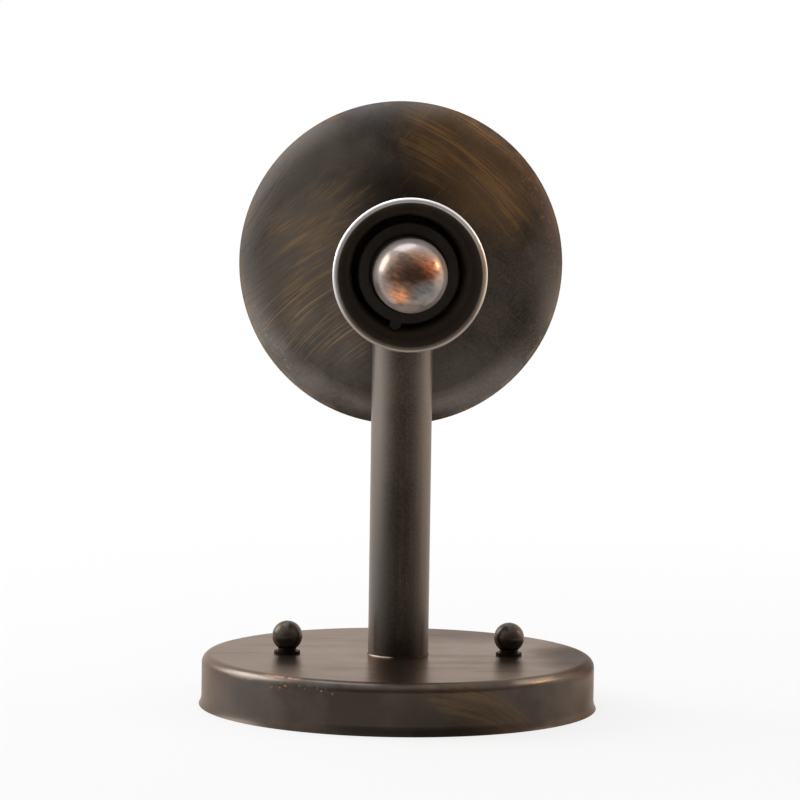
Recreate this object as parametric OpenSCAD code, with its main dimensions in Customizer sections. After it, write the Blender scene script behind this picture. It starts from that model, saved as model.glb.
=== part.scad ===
// Candle wall light: a flared cup and a drip disc on a straight arm, on a round wall plate.
// Millimetres. It stands on its wall plate: the wall is z = 0, the arm rises along +Z and the
// cup opens along -Y. Hung on a wall, -Y points up.

/* [Wall plate] */
// Diameter of the plate's side wall
plate_d = 123.5; // [116:0.5:140]
// Height of the plate's face above the wall
plate_h = 16; // [15:0.5:26]
// Thickness of the pressed sheet
plate_wall = 1.2; // [0.8:0.1:2]
// Outer radius of the rounded front edge
plate_edge_r = 3; // [2.5:0.5:6]
// How far the lip flares out at the wall
lip_w = 0.8; // [0.4:0.1:2]
// Height of the flared lip
lip_h = 3; // [2:0.5:5]

/* [Mounting bar] */
// Distance between the two box screws
box_spacing = 88.9; // [86:0.1:96]
// Width of a box screw slot
box_slot_w = 4.5; // [4:0.1:5.5]
// Length of a box screw slot
box_slot_l = 9; // [6:0.5:11]
// Metal past the outer end of a slot
bar_margin = 5; // [3:0.5:7]
// Width of the bar
bar_w = 22; // [18:0.5:26]
// Thickness of the bar
bar_t = 2; // [1.5:0.1:3]
// Radius of the bar's corners
bar_corner_r = 4; // [2:0.5:8]
// Hole for the supply cable
cable_hole_d = 12; // [8:0.5:13]
// Distance of the earth screw from the middle of the bar
earth_screw_x = 13; // [12:0.5:15]

/* [Ball nuts] */
// Distance between the two studs
stud_spacing = 69.85; // [66:0.05:72]
// Diameter of the stud
stud_d = 4; // [3:0.1:4.5]
// Length of stud that is screwed into a ball nut
stud_grip = 5.1; // [4:0.1:6]
// Diameter of the ball
ball_d = 9.5; // [9:0.1:14]
// Height of the ball's middle above the washer
ball_rise = 4.7; // [4:0.1:7]
// Diameter of the neck under the ball
neck_d = 5.8; // [5.5:0.1:7]
// Diameter of the washer under the neck
nut_washer_d = 8.2; // [7:0.1:12]
// Thickness of that washer
nut_washer_t = 0.8; // [0.5:0.1:1.5]

/* [Terminal block] */
// Distance between the two poles
pole_pitch = 8; // [7.5:0.5:10]
// Length of the block along the wires
block_l = 15; // [13:0.5:18]
// Height of the block
block_h = 10; // [8.5:0.5:11]
// Height of the wire holes above the block's foot
wire_rise = 4; // [3.5:0.1:4.5]
// Gap between the bar's edge and the block
block_gap = 2; // [1:0.5:4]

/* [Arm] */
// Outer diameter of the arm tube
arm_d = 19; // [17.5:0.1:22]
// Wall of the arm tube
arm_wall = 1.25; // [0.8:0.05:1.5]
// Height of the cup's axis above the wall
head_h = 138; // [120:1:170]
// Length of the threaded bush in the arm's foot
bush_l = 12; // [8:0.5:20]

/* [Threads] */
// Diameter of the hollow nipples
thread_d = 10; // [9.5:0.1:11]
// Bore of the hollow nipples
nipple_bore_d = 7.4; // [6.8:0.1:8]
// Width across the flats of their nuts
nut_af = 14; // [13:0.5:16]
// Thickness of their nuts
nut_t = 3.8; // [3:0.1:4]
// Thickness of their washers
washer_t = 1; // [0.6:0.1:1.2]

/* [Drip disc] */
// Diameter of the disc
disc_d = 103; // [90:0.5:120]
// Thickness of the sheet
disc_t = 1.2; // [0.8:0.1:2]
// Width of the edge that curves back
disc_roll_w = 9; // [5:0.5:14]
// How far the edge curves back
disc_roll_drop = 2.6; // [1:0.1:4]
// Distance from the arm's axis back to the disc's face
disc_back = 21.5; // [21:0.5:24]

/* [Candle cup] */
// Length from the disc's face to the mouth
cup_l = 75.5; // [70:0.5:90]
// Outer diameter of the cup's straight part
cup_d = 36.2; // [35.6:0.1:40]
// Wall of the cup
cup_wall = 1.2; // [0.8:0.1:1.4]
// Outer diameter of the mouth's rim
mouth_d = 46.5; // [43:0.1:56]
// Length of the flared part
flare_l = 30; // [20:0.5:34]
// Diameter of the rounded rim bead
bead_d = 1.9; // [1.6:0.1:3]
// Radius of the floor's outer edge
cup_edge_r = 2.5; // [1.5:0.1:4]
// Hole for the leads in the cup's side
lead_hole_d = 12; // [10:0.5:14]

/* [Lampholder] */
// Height of the bulb's tip above the disc's face
seat_s = 40.5; // [34:0.1:46]
// Diameter of the lampholder's body
holder_d = 28; // [27:0.1:29]
// Outer diameter of the front ring
ring_d = 30.8; // [30.2:0.1:31.5]
// Length of the front ring
ring_l = 7; // [5:0.5:9]
// Opening of the front ring
ring_mouth_d = 23.6; // [20:0.1:24.5]
// How far the ring's ear stands out
ear_out = 1.2; // [0.6:0.1:1.3]
// Length of the lampholder in front of the bulb's tip
holder_l = 22; // [21:0.5:24]

/* [Bulb] */
// Diameter of the glass
bulb_d = 22.4; // [20:0.1:25]
// Length of the bulb, tip to tip
bulb_l = 48; // [44:0.5:51]
// Diameter of the screw cap
cap_d = 13.8; // [13.2:0.1:14]
// Length of the screw cap, with its tip
cap_l = 20; // [19:0.5:21]
// Thickness of the glass
glass_t = 0.7; // [0.5:0.1:1]

/* [Hidden] */

$fn = 96;
over = 1;           // how far a cut runs past the face that it opens
thread_gap = 0.06;  // radial gap in a thread
hole_gap = 0.25;    // radial gap of a bolt in a plain hole
contact_gap = 0.1;  // gap between the spring contact and the bulb's tip

bronze = "#453c33";
rim_bronze = "#8d8277";
brass = "#b2925a";
steel = "#a5a7a8";
copper = "#b06a45";
bakelite = "#1e1d1c";
nylon = "#e9e5d8";
brown_pvc = "#6a3d22";
blue_pvc = "#2f5f9e";
green_pvc = "#4f8f3c";

// Levels inside the wall plate, from the wall outwards
plate_in = plate_h - plate_wall;
tag_t = 0.8;
nipple_end = 1;
arm_nut_z = plate_in - tag_t - washer_t - nut_t;
nipple_z = arm_nut_z - nipple_end;
stud_nut_af = 7;
stud_nut_t = 3.2;
stud_top = plate_h + nut_washer_t + stud_grip;
bar_l = box_spacing + box_slot_l + 2 * bar_margin;

// Terminal block
block_w = 2 * pole_pitch;
block_y = bar_w / 2 + block_gap;
block_end = 2;
wire_z = bar_t + wire_rise;
insert_d = 4.6;
insert_bore_d = 2.6;
well_d = 3.6;
well_inset = 3.8;
block_screw_d = 2.9;
block_head_d = 5;
block_head_t = 1.5;
head_sink = 2;

// Earth bond
earth_screw_d = 4;
earth_head_d = 7;
earth_head_t = 2.4;
tag_rim = 3.4;
barrel_d = 3.2;
barrel_bore_d = 2.2;
barrel_l = 5;
lead_d = 1.9;
earth_bend_x = earth_screw_x + earth_screw_d / 2 + tag_rim + barrel_l;

// Cup: the flare is an arc, tangent to the straight wall, that ends in the middle of the rim bead
bead_r = bead_d / 2;
flare_run = flare_l - bead_r;
flare_rise = mouth_d / 2 - bead_r + cup_wall / 2 - cup_d / 2;
flare_r = (flare_run * flare_run + flare_rise * flare_rise) / (2 * flare_rise);
flare_s = cup_l - flare_l;
cup_in_r = cup_d / 2 - cup_wall;

// Disc: the edge is an arc, tangent to the flat face
roll_r = (disc_roll_w * disc_roll_w + disc_roll_drop * disc_roll_drop) / (2 * disc_roll_drop);
disc_flat_r = disc_d / 2 - disc_roll_w;

// Lampholder, along the cup's axis from the disc's face
spring_h = 3.5;
base_t = 5;
base_top = seat_s - spring_h;
base_s = base_top - base_t;
floor_nut_s = cup_wall + washer_t;
holder_neck_l = 12.5;
neck_s = base_s - holder_neck_l;
holder_neck_d = 14;
cup_nipple_top = base_s - 4;
holder_front = seat_s + holder_l;
ring_lip_t = 1;
ring_front = holder_front + ring_lip_t;
ring_thread_d = ring_d - 4;
ear_angle = 256;
ear_d = 3.4;
ear_t = 3;
shell_d = cap_d + 2 * thread_gap + 0.8;
shell_l = 17;
shell_foot = 3;
clamp_w = 6;
clamp_l = 6.5;
clamp_x = (holder_neck_d + clamp_w) / 2;
clamp_y = -5;
clamp_bore_d = 2.4;
clamp_screw_d = 2.6;
clamp_head_d = 3.8;
clamp_head_t = 1.2;
clamp_s = base_s - clamp_head_d / 2 - contact_gap;

// Cap nut behind the disc
cap_nut_d = 17;
cap_nut_t = 4.5;
cap_nut_dome = 3;
cap_nut_grip = 4.6;

// Bulb, along its axis from its tip
tip_d = 4.6;
tip_l = 2;
tip_dome = 0.6;
insulator_d = 10;
cap_foot = 2.6;
cap_cone = 2.4;
cap_wall = 0.3;
glass_fit = 0.1;
glass_foot = 12;
glass_neck_r = cap_d / 2 - cap_wall - glass_fit;
glass_neck_top = cap_l + 1;
glass_swell = 9;
stem_d = 4.4;
stem_top = 24;
stem_flare_t = 1;
arbor_d = 1;
filament_d = 0.4;
support_d = 0.7;
support_x = 1.5;
hook_x = 4.6;
hook_depth = 15;
hook_t = bulb_l - hook_depth;
filament_sag = 1.6;
arbor_top = hook_t + filament_sag - filament_d / 2 - thread_gap;
wire_seat = 1;      // how deep the support wires sit in the stem

// Route of a lead for the pole at side * pole_pitch / 2, from the terminal block to the lampholder
bore_x = 1.7;
lead_low_z = bar_t + 3;
clamp_z = head_h + clamp_y - clamp_w / 2;
cup_hole_z = head_h - cup_d / 2;
function lead_route(side) = [
    [side * pole_pitch / 2, block_y + 3, wire_z],
    [side * pole_pitch / 2, block_y - 1, wire_z],
    [side * 3.2, block_y - 6, lead_low_z + 0.4],
    [side * 2.2, 3, lead_low_z],
    [side * bore_x, 0.6, lead_low_z + 2.6],
    [side * bore_x, 0, nipple_z + 3],
    [side * bore_x, 0, plate_h + 4],
    [side * bore_x, 0, plate_h + bush_l + 8],
    [side * bore_x, 0, (plate_h + bush_l + cup_hole_z) / 2],
    [side * bore_x, 0, cup_hole_z - 22],
    [side * bore_x, 0, cup_hole_z - 8],
    [side * 2.2, 0, cup_hole_z - 1],
    [side * 5.4, 0, cup_hole_z + 3.6],
    [side * 9, disc_back - clamp_s, clamp_z - 3.6],
    [side * clamp_x, disc_back - clamp_s, clamp_z],
    [side * clamp_x, disc_back - clamp_s, clamp_z + 3]
];

function unit(v) = v / norm(v);

// A point on the smooth curve through b and c, with neighbours a and d
function curve_point(a, b, c, d, t) =
    (2 * b + (c - a) * t + (2 * a - 5 * b + 4 * c - d) * t * t
        + (3 * b - a - 3 * c + d) * t * t * t) / 2;

function smooth(pts, steps) = concat(
    [for (i = [0 : len(pts) - 2]) for (k = [0 : steps - 1])
        curve_point(pts[max(i - 1, 0)], pts[i], pts[i + 1], pts[min(i + 2, len(pts) - 1)], k / steps)],
    [pts[len(pts) - 1]]
);

function tangent(pts, i) = unit(pts[min(i + 1, len(pts) - 1)] - pts[max(i - 1, 0)]);

// The corners of a round section at point i, square to the path; side is a direction the path never takes
function section(pts, i, r, sides, side) =
    let (t = tangent(pts, i), u = unit(cross(side, t)), v = cross(t, u))
    [for (k = [0 : sides - 1]) pts[i] + r * (cos(360 * k / sides) * u + sin(360 * k / sides) * v)];

module wire(pts, d, side, sides = 8) {
    n = len(pts);
    corners = [for (i = [0 : n - 1]) each section(pts, i, d / 2, sides, side)];
    last = (n - 1) * sides;
    faces = concat(
        [for (k = [1 : sides - 2]) [0, k, k + 1]],
        [for (k = [1 : sides - 2]) [last, last + k + 1, last + k]],
        [for (i = [0 : n - 2]) for (k = [0 : sides - 1])
            let (a = i * sides + k, b = i * sides + (k + 1) % sides)
            each [[b, a, a + sides], [b, a + sides, b + sides]]]
    );
    polyhedron(corners, faces);
}

// Carries a shape from the cup's axis to its place: z runs out of the cup, y is away from the wall
module on_cup() {
    translate([0, disc_back, head_h]) rotate([90, 0, 0]) children();
}

module on_bulb() {
    on_cup() translate([0, 0, seat_s]) children();
}

module tube(d_out, d_in, h) {
    difference() {
        cylinder(d = d_out, h = h);
        translate([0, 0, -over]) cylinder(d = d_in, h = h + 2 * over);
    }
}

module hex_nut(af, bore_d, h) {
    difference() {
        cylinder(d = af / cos(30), h = h, $fn = 6);
        translate([0, 0, -over]) cylinder(d = bore_d, h = h + 2 * over);
    }
}

module rounded_bar_2d(l, w, r) {
    square([l - 2 * r, w], center = true);
    square([l, w - 2 * r], center = true);
    for (x = [-1, 1], y = [-1, 1]) translate([x * (l / 2 - r), y * (w / 2 - r)]) circle(r);
}

module slot_2d(l, w) {
    square([l - w, w], center = true);
    for (x = [-1, 1]) translate([x * (l - w) / 2, 0]) circle(d = w);
}

// Half section of a solid pan of radius r: a rounded top edge and a lip that flares at its foot
module pan_2d(r, h, edge_r) {
    lip_arc_r = (lip_w * lip_w + lip_h * lip_h) / (2 * lip_w);
    square([r, h - edge_r]);
    square([r - edge_r, h]);
    translate([r - edge_r, h - edge_r]) circle(edge_r);
    difference() {
        square([r + lip_w, lip_h]);
        translate([r + lip_arc_r, lip_h]) circle(lip_arc_r);
    }
}

module wall_plate() {
    color(bronze) difference() {
        rotate_extrude() pan_2d(plate_d / 2, plate_h, plate_edge_r);
        rotate_extrude() pan_2d(plate_d / 2 - plate_wall, plate_in, plate_edge_r - plate_wall);
        cylinder(d = thread_d + 2 * hole_gap, h = plate_h + over);
        for (x = [-1, 1]) translate([x * stud_spacing / 2, 0, 0])
            cylinder(d = stud_d + 2 * hole_gap, h = plate_h + over);
    }
}

module mounting_bar() {
    tab_l = block_gap + block_l + block_end;
    tab_w = block_w + 2 * block_end;
    color(steel) linear_extrude(bar_t) difference() {
        union() {
            rounded_bar_2d(bar_l, bar_w, bar_corner_r);
            translate([-tab_w / 2, 0]) square([tab_w, bar_w / 2 + tab_l]);
        }
        circle(d = cable_hole_d);
        translate([-earth_screw_x, 0]) circle(d = earth_screw_d + 2 * thread_gap);
        translate([0, block_y + block_l / 2]) circle(d = block_screw_d + 2 * thread_gap);
        for (x = [-1, 1]) {
            translate([x * box_spacing / 2, 0]) slot_2d(box_slot_l, box_slot_w);
            translate([x * stud_spacing / 2, 0]) circle(d = stud_d + 2 * thread_gap);
        }
    }
}

module mounting_studs() {
    color(steel) for (x = [-1, 1]) translate([x * stud_spacing / 2, 0, 0]) cylinder(d = stud_d, h = stud_top);
}

module stud_lock_nuts() {
    color(steel) for (x = [-1, 1]) translate([x * stud_spacing / 2, 0, bar_t])
        hex_nut(stud_nut_af, stud_d + 2 * thread_gap, stud_nut_t);
}

// Pan-head screw standing on z = 0, its shank running down
module pan_screw(d, head_d, head_t, l) {
    translate([0, 0, -l]) cylinder(d = d, h = l);
    difference() {
        cylinder(d = head_d, h = head_t);
        translate([-head_d, -d / 8, head_t / 2]) cube([2 * head_d, d / 4, head_t]);
    }
}

module earth_screw() {
    color(brass) translate([-earth_screw_x, 0, bar_t + tag_t])
        pan_screw(earth_screw_d, earth_head_d, earth_head_t, bar_t + tag_t);
}

module at_poles() {
    for (x = [-1, 1]) translate([x * pole_pitch / 2, block_y, bar_t]) children();
}

module terminal_block() {
    color(nylon) difference() {
        translate([-block_w / 2, block_y, bar_t]) cube([block_w, block_l, block_h]);
        at_poles() {
            translate([0, -over, wire_rise]) rotate([-90, 0, 0])
                cylinder(d = insert_d, h = block_l + 2 * over);
            for (y = [well_inset, block_l - well_inset]) translate([0, y, wire_rise])
                cylinder(d = well_d, h = block_h);
        }
        translate([0, block_y + block_l / 2, 0]) {
            cylinder(d = block_screw_d + 2 * hole_gap, h = bar_t + block_h + over);
            translate([0, 0, bar_t + block_h - head_sink])
                cylinder(d = block_head_d + 2 * hole_gap, h = head_sink + over);
        }
    }
}

module terminal_inserts() {
    color(brass) at_poles() translate([0, 0, wire_rise]) difference() {
        rotate([-90, 0, 0]) tube(insert_d - 2 * thread_gap, insert_bore_d, block_l);
        for (y = [well_inset, block_l - well_inset]) translate([0, y, 0])
            cylinder(d = clamp_screw_d + 2 * thread_gap, h = insert_d);
    }
}

module terminal_screws() {
    screw_foot = insert_bore_d / 2;
    screw_l = block_h - wire_rise - screw_foot - head_sink;
    color(steel) at_poles() for (y = [well_inset, block_l - well_inset])
        translate([0, y, wire_rise + screw_foot]) difference() {
            cylinder(d = clamp_screw_d, h = screw_l);
            translate([-clamp_screw_d, -clamp_screw_d / 8, screw_l - clamp_screw_d / 4])
                cube([2 * clamp_screw_d, clamp_screw_d / 4, clamp_screw_d]);
        }
}

module block_screw() {
    color(steel) translate([0, block_y + block_l / 2, bar_t + block_h - head_sink])
        pan_screw(block_screw_d, block_head_d, block_head_t, bar_t + block_h - head_sink);
}

module arm_tube() {
    color(bronze) difference() {
        translate([0, 0, plate_h]) tube(arm_d, arm_d - 2 * arm_wall, head_h - plate_h);
        on_cup() cylinder(d = cup_d, h = disc_back + arm_d);
    }
}

module arm_foot_bush() {
    color(brass) translate([0, 0, plate_h])
        tube(arm_d - 2 * arm_wall - 2 * thread_gap, thread_d + 2 * thread_gap, bush_l);
}

module arm_nipple() {
    color(brass) translate([0, 0, nipple_z]) tube(thread_d, nipple_bore_d, plate_h + bush_l - nipple_z);
}

// Ring tag for a screw of diameter d, its crimp barrel along -X; up = 1 lies on its lower face
module ring_tag(d, up) {
    ring_r = d / 2 + tag_rim;
    barrel_z = up * (barrel_d - tag_t) / 2;
    difference() {
        union() {
            cylinder(d = 2 * ring_r, h = tag_t);
            translate([-ring_r - barrel_l, -barrel_d / 2, 0]) cube([ring_r + barrel_l, barrel_d, tag_t]);
            translate([-ring_r, 0, tag_t / 2 + barrel_z]) rotate([0, -90, 0])
                cylinder(d = barrel_d, h = barrel_l);
        }
        translate([0, 0, -over]) cylinder(d = d + 2 * hole_gap, h = tag_t + 2 * over);
        translate([-ring_r + over, 0, tag_t / 2 + barrel_z]) rotate([0, -90, 0])
            cylinder(d = barrel_bore_d, h = barrel_l + 2 * over);
    }
}

module earth_tags() {
    color(steel) {
        translate([0, 0, plate_in - tag_t]) ring_tag(thread_d, -1);
        translate([-earth_screw_x, 0, bar_t]) ring_tag(earth_screw_d, 1);
    }
}

module arm_lock_washer() {
    color(steel) translate([0, 0, arm_nut_z + nut_t]) tube(nut_af + 2, thread_d + 2 * hole_gap, washer_t);
}

module arm_lock_nut() {
    color(brass) translate([0, 0, arm_nut_z]) hex_nut(nut_af, thread_d + 2 * thread_gap, nut_t);
}

// Half section of the cup's wall, floor, flare and rim
module cup_2d() {
    floor_r = cup_d / 2 - cup_edge_r;
    inner_edge_r = cup_edge_r - cup_wall;
    square([floor_r, cup_wall]);
    translate([cup_in_r, cup_edge_r]) square([cup_wall, flare_s - cup_edge_r]);
    intersection() {
        translate([floor_r, cup_edge_r]) difference() {
            circle(cup_edge_r);
            circle(inner_edge_r);
        }
        translate([floor_r, 0]) square(cup_edge_r);
    }
    intersection() {
        translate([cup_d / 2 + flare_r, flare_s]) difference() {
            circle(flare_r + cup_wall);
            circle(flare_r);
        }
        translate([0, flare_s]) square([mouth_d, flare_run]);
        square([mouth_d / 2, cup_l]);
    }
    translate([mouth_d / 2 - bead_r, cup_l - bead_r]) circle(bead_r);
}

module candle_cup() {
    color(rim_bronze) on_cup() difference() {
        rotate_extrude() cup_2d();
        translate([0, 0, -over]) cylinder(d = thread_d + 2 * hole_gap, h = cup_wall + 2 * over);
        translate([0, 0, disc_back]) rotate([90, 0, 0]) cylinder(d = lead_hole_d, h = cup_d);
    }
}

// Half section of the disc, its face on y = 0 and its thickness below
module disc_2d() {
    translate([0, -disc_t]) square([disc_flat_r, disc_t]);
    intersection() {
        translate([disc_flat_r, -roll_r]) difference() {
            circle(roll_r);
            circle(roll_r - disc_t);
        }
        translate([disc_flat_r, -roll_r]) square([disc_roll_w, roll_r]);
    }
}

module drip_disc() {
    color(bronze) on_cup() difference() {
        rotate_extrude() disc_2d();
        translate([0, 0, -disc_t - over]) cylinder(d = thread_d + 2 * hole_gap, h = disc_t + 2 * over);
    }
}

module cup_nipple() {
    foot = -disc_t - cap_nut_grip;
    color(brass) on_cup() translate([0, 0, foot]) tube(thread_d, nipple_bore_d, cup_nipple_top - foot);
}

module cup_nut_washer() {
    color(steel) on_cup() translate([0, 0, cup_wall]) tube(nut_af + 2, thread_d + 2 * hole_gap, washer_t);
}

module cup_lock_nut() {
    color(brass) on_cup() translate([0, 0, floor_nut_s]) hex_nut(nut_af, thread_d + 2 * thread_gap, nut_t);
}

// Low round nut with a domed end, screwed on from behind the disc
module disc_cap_nut() {
    dome_r = (cap_nut_d * cap_nut_d / 4 + cap_nut_dome * cap_nut_dome) / (2 * cap_nut_dome);
    color(bronze) on_cup() translate([0, 0, -disc_t]) mirror([0, 0, 1]) difference() {
        union() {
            cylinder(d = cap_nut_d, h = cap_nut_t);
            intersection() {
                translate([0, 0, cap_nut_t + cap_nut_dome - dome_r]) sphere(dome_r);
                translate([0, 0, cap_nut_t]) cylinder(d = cap_nut_d, h = cap_nut_dome);
            }
        }
        translate([0, 0, -over])
            cylinder(d = thread_d + 2 * thread_gap, h = cap_nut_grip + thread_gap + over);
    }
}

module holder_base() {
    color(bakelite) on_cup() difference() {
        union() {
            translate([0, 0, base_s]) cylinder(d = holder_d, h = base_t);
            translate([0, 0, neck_s]) cylinder(d = holder_neck_d, h = base_s - neck_s);
        }
        translate([0, 0, neck_s - over])
            cylinder(d = thread_d + 2 * thread_gap, h = cup_nipple_top - neck_s + over + thread_gap);
    }
}

module holder_body() {
    thread_s = ring_front - ring_l;
    color(bakelite) on_cup() difference() {
        union() {
            translate([0, 0, base_top]) cylinder(d = holder_d, h = thread_s - base_top);
            translate([0, 0, base_top]) cylinder(d = ring_thread_d, h = holder_front - base_top);
        }
        translate([0, 0, base_top - over])
            cylinder(d = shell_d + 2 * thread_gap, h = holder_front - base_top + 2 * over);
    }
}

// Front ring that screws over the holder, with one rounded ear
module holder_ring() {
    color(bakelite) on_cup() translate([0, 0, ring_front - ring_l]) difference() {
        union() {
            cylinder(d = ring_d, h = ring_l);
            rotate([0, 0, ear_angle]) translate([ring_d / 2 + ear_out - ear_d / 2, 0, ring_l - ear_t])
                cylinder(d = ear_d, h = ear_t);
        }
        translate([0, 0, -over])
            cylinder(d = ring_thread_d + 2 * thread_gap, h = ring_l - ring_lip_t + over);
        cylinder(d = ring_mouth_d, h = ring_l + over);
    }
}

module holder_shell() {
    color(brass) on_bulb() translate([0, 0, shell_foot]) tube(shell_d, cap_d + 2 * thread_gap, shell_l);
}

// Spring tongue: it lies on the base and rises to the bulb's tip
module centre_contact() {
    strip_t = 0.5;
    strip_w = 5;
    foot = -spring_h;
    top = -contact_gap - strip_t;
    path = [[-6.4, foot], [-2.6, foot], [-0.9, top], [1.2, top], [2.4, top - strip_t]];
    back = [for (i = [len(path) - 1 : -1 : 0]) path[i] + [0, strip_t]];
    color(brass) on_bulb() rotate([90, 0, 0]) linear_extrude(strip_w, center = true)
        polygon(concat(path, back));
}

module at_clamps() {
    for (x = [-1, 1]) on_cup() translate([x * clamp_x, clamp_y, base_s - clamp_l])
        mirror([x < 0 ? 1 : 0, 0, 0]) children();
}

module holder_terminals() {
    color(brass) at_clamps() difference() {
        translate([-clamp_w / 2, -clamp_w / 2, 0]) cube([clamp_w, clamp_w, clamp_l]);
        translate([0, clamp_w / 4, clamp_s - base_s + clamp_l]) rotate([90, 0, 0])
            cylinder(d = clamp_bore_d, h = clamp_w);
        translate([0, 0, clamp_s - base_s + clamp_l]) rotate([0, 90, 0])
            cylinder(d = clamp_screw_d + 2 * thread_gap, h = clamp_w);
    }
}

module holder_terminal_screws() {
    color(steel) at_clamps() translate([clamp_w / 2, 0, clamp_s - base_s + clamp_l]) rotate([0, 90, 0])
        pan_screw(clamp_screw_d, clamp_head_d, clamp_head_t, (clamp_w - clamp_bore_d) / 2);
}

module live_lead() {
    color(brown_pvc) wire(smooth(lead_route(1), 3), lead_d, [1, 0, 0]);
}

module neutral_lead() {
    color(blue_pvc) wire(smooth(lead_route(-1), 3), lead_d, [1, 0, 0]);
}

// Bond from the arm's tag to the bar's tag: two straight ends and a half turn
module earth_lead() {
    top_z = plate_in - barrel_d / 2;
    low_z = bar_t + barrel_d / 2;
    top_x = thread_d / 2 + tag_rim + over;
    low_x = earth_bend_x - barrel_l + over;
    color(green_pvc) {
        translate([-top_x, 0, top_z]) rotate([0, -90, 0]) cylinder(d = lead_d, h = earth_bend_x - top_x);
        translate([-low_x, 0, low_z]) rotate([0, -90, 0]) cylinder(d = lead_d, h = earth_bend_x - low_x);
        translate([-earth_bend_x, 0, (top_z + low_z) / 2]) rotate([90, 0, 0]) rotate([0, 0, 90])
            rotate_extrude(angle = 180) translate([(top_z - low_z) / 2, 0]) circle(d = lead_d);
    }
}

module nut_washer(side) {
    color(bronze) translate([side * stud_spacing / 2, 0, plate_h])
        tube(nut_washer_d, stud_d + 2 * hole_gap, nut_washer_t);
}

module ball_nut(side) {
    color(bronze) translate([side * stud_spacing / 2, 0, plate_h + nut_washer_t]) difference() {
        union() {
            cylinder(d = neck_d, h = ball_rise);
            translate([0, 0, ball_rise]) sphere(d = ball_d);
        }
        translate([0, 0, -ball_d]) cylinder(d = ball_d, h = ball_d);
        translate([0, 0, -over]) cylinder(d = stud_d + 2 * thread_gap, h = stud_grip + hole_gap + over);
    }
}

module left_nut_washer() { nut_washer(-1); }

module right_nut_washer() { nut_washer(1); }

module left_ball_nut() { ball_nut(-1); }

module right_ball_nut() { ball_nut(1); }

module bulb_tip() {
    dome_r = (tip_d * tip_d / 4 + tip_dome * tip_dome) / (2 * tip_dome);
    color(steel) on_bulb() {
        translate([0, 0, tip_dome]) cylinder(d = tip_d, h = tip_l - tip_dome);
        intersection() {
            translate([0, 0, dome_r]) sphere(dome_r);
            cylinder(d = tip_d, h = tip_dome);
        }
    }
}

module bulb_insulator() {
    hole_r = tip_d / 2 + thread_gap;
    out_r = insulator_d / 2;
    color(bakelite) on_bulb() rotate_extrude() polygon([
        [hole_r, tip_dome + 0.2], [hole_r + 0.9, tip_dome + 0.2], [out_r, cap_foot],
        [out_r, cap_foot + cap_cone], [hole_r, cap_foot + cap_cone]
    ]);
}

module bulb_cap() {
    out_r = cap_d / 2;
    in_r = out_r - cap_wall;
    foot_r = insulator_d / 2;
    color(brass) on_bulb() rotate_extrude() polygon([
        [foot_r, cap_foot], [foot_r + cap_wall, cap_foot], [out_r, cap_foot + cap_cone], [out_r, cap_l],
        [in_r, cap_l], [in_r, cap_foot + cap_cone + cap_wall], [foot_r, cap_foot + cap_wall]
    ]);
}

// Half section of the bulb drawn in by inset: neck, a swell of two equal arcs, a straight side and a dome
module glass_2d(inset) {
    neck_r = glass_neck_r - inset;
    r = bulb_d / 2 - inset;
    low = glass_neck_top;
    high = low + glass_swell;
    mid = (low + high) / 2;
    arc_r = (glass_swell * glass_swell + (r - neck_r) * (r - neck_r)) / (4 * (r - neck_r));
    translate([0, glass_foot]) square([neck_r, low - glass_foot]);
    difference() {
        translate([0, low]) square([(neck_r + r) / 2, mid - low]);
        translate([neck_r + arc_r, low]) circle(arc_r);
    }
    translate([0, mid]) square([r - arc_r, high - mid]);
    intersection() {
        translate([r - arc_r, high]) circle(arc_r);
        translate([0, mid]) square([r, high - mid]);
    }
    translate([0, high]) square([r, bulb_l - bulb_d / 2 - high]);
    intersection() {
        translate([0, bulb_l - bulb_d / 2]) circle(r);
        translate([0, bulb_l - bulb_d / 2]) square(r);
    }
}

module bulb_glass() {
    color("#c9d3d6", 0.4) on_bulb() difference() {
        rotate_extrude() glass_2d(0);
        rotate_extrude() glass_2d(glass_t);
        translate([0, 0, glass_foot - over]) cylinder(r = glass_neck_r - glass_t, h = 2 * over);
    }
}

// Glass foot that seals the neck, with a round stem and a thin rod on it
module bulb_stem() {
    color("#dfe6e6", 0.6) on_bulb() difference() {
        union() {
            translate([0, 0, glass_foot]) cylinder(r = glass_neck_r - glass_t - glass_fit, h = stem_flare_t);
            translate([0, 0, glass_foot]) cylinder(d = stem_d, h = stem_top - glass_foot);
            translate([0, 0, stem_top]) sphere(d = stem_d);
            translate([0, 0, stem_top]) cylinder(d = arbor_d, h = arbor_top - stem_top);
        }
        for (x = [-1, 1]) translate([x * support_x, 0, stem_top - wire_seat])
            cylinder(d = support_d + 2 * thread_gap, h = stem_d);
    }
}

// Two support wires out of the stem, and the filament hung between their hooks
module bulb_filament() {
    foot_t = stem_top - wire_seat + thread_gap;
    bend_t = stem_top + stem_d / 2 + wire_seat;
    hang = [for (a = [-1 : 0.25 : 1]) [a * hook_x, 0, hook_t + filament_sag * (1 - a * a)]];
    color(copper) on_bulb() {
        for (x = [-1, 1]) {
            rise = [[x * support_x, 0, foot_t], [x * support_x, 0, bend_t], [x * hook_x, 0, hook_t]];
            wire(rise, support_d, [0, 1, 0]);
        }
        wire(hang, filament_d, [0, 1, 0], 6);
    }
}

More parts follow.
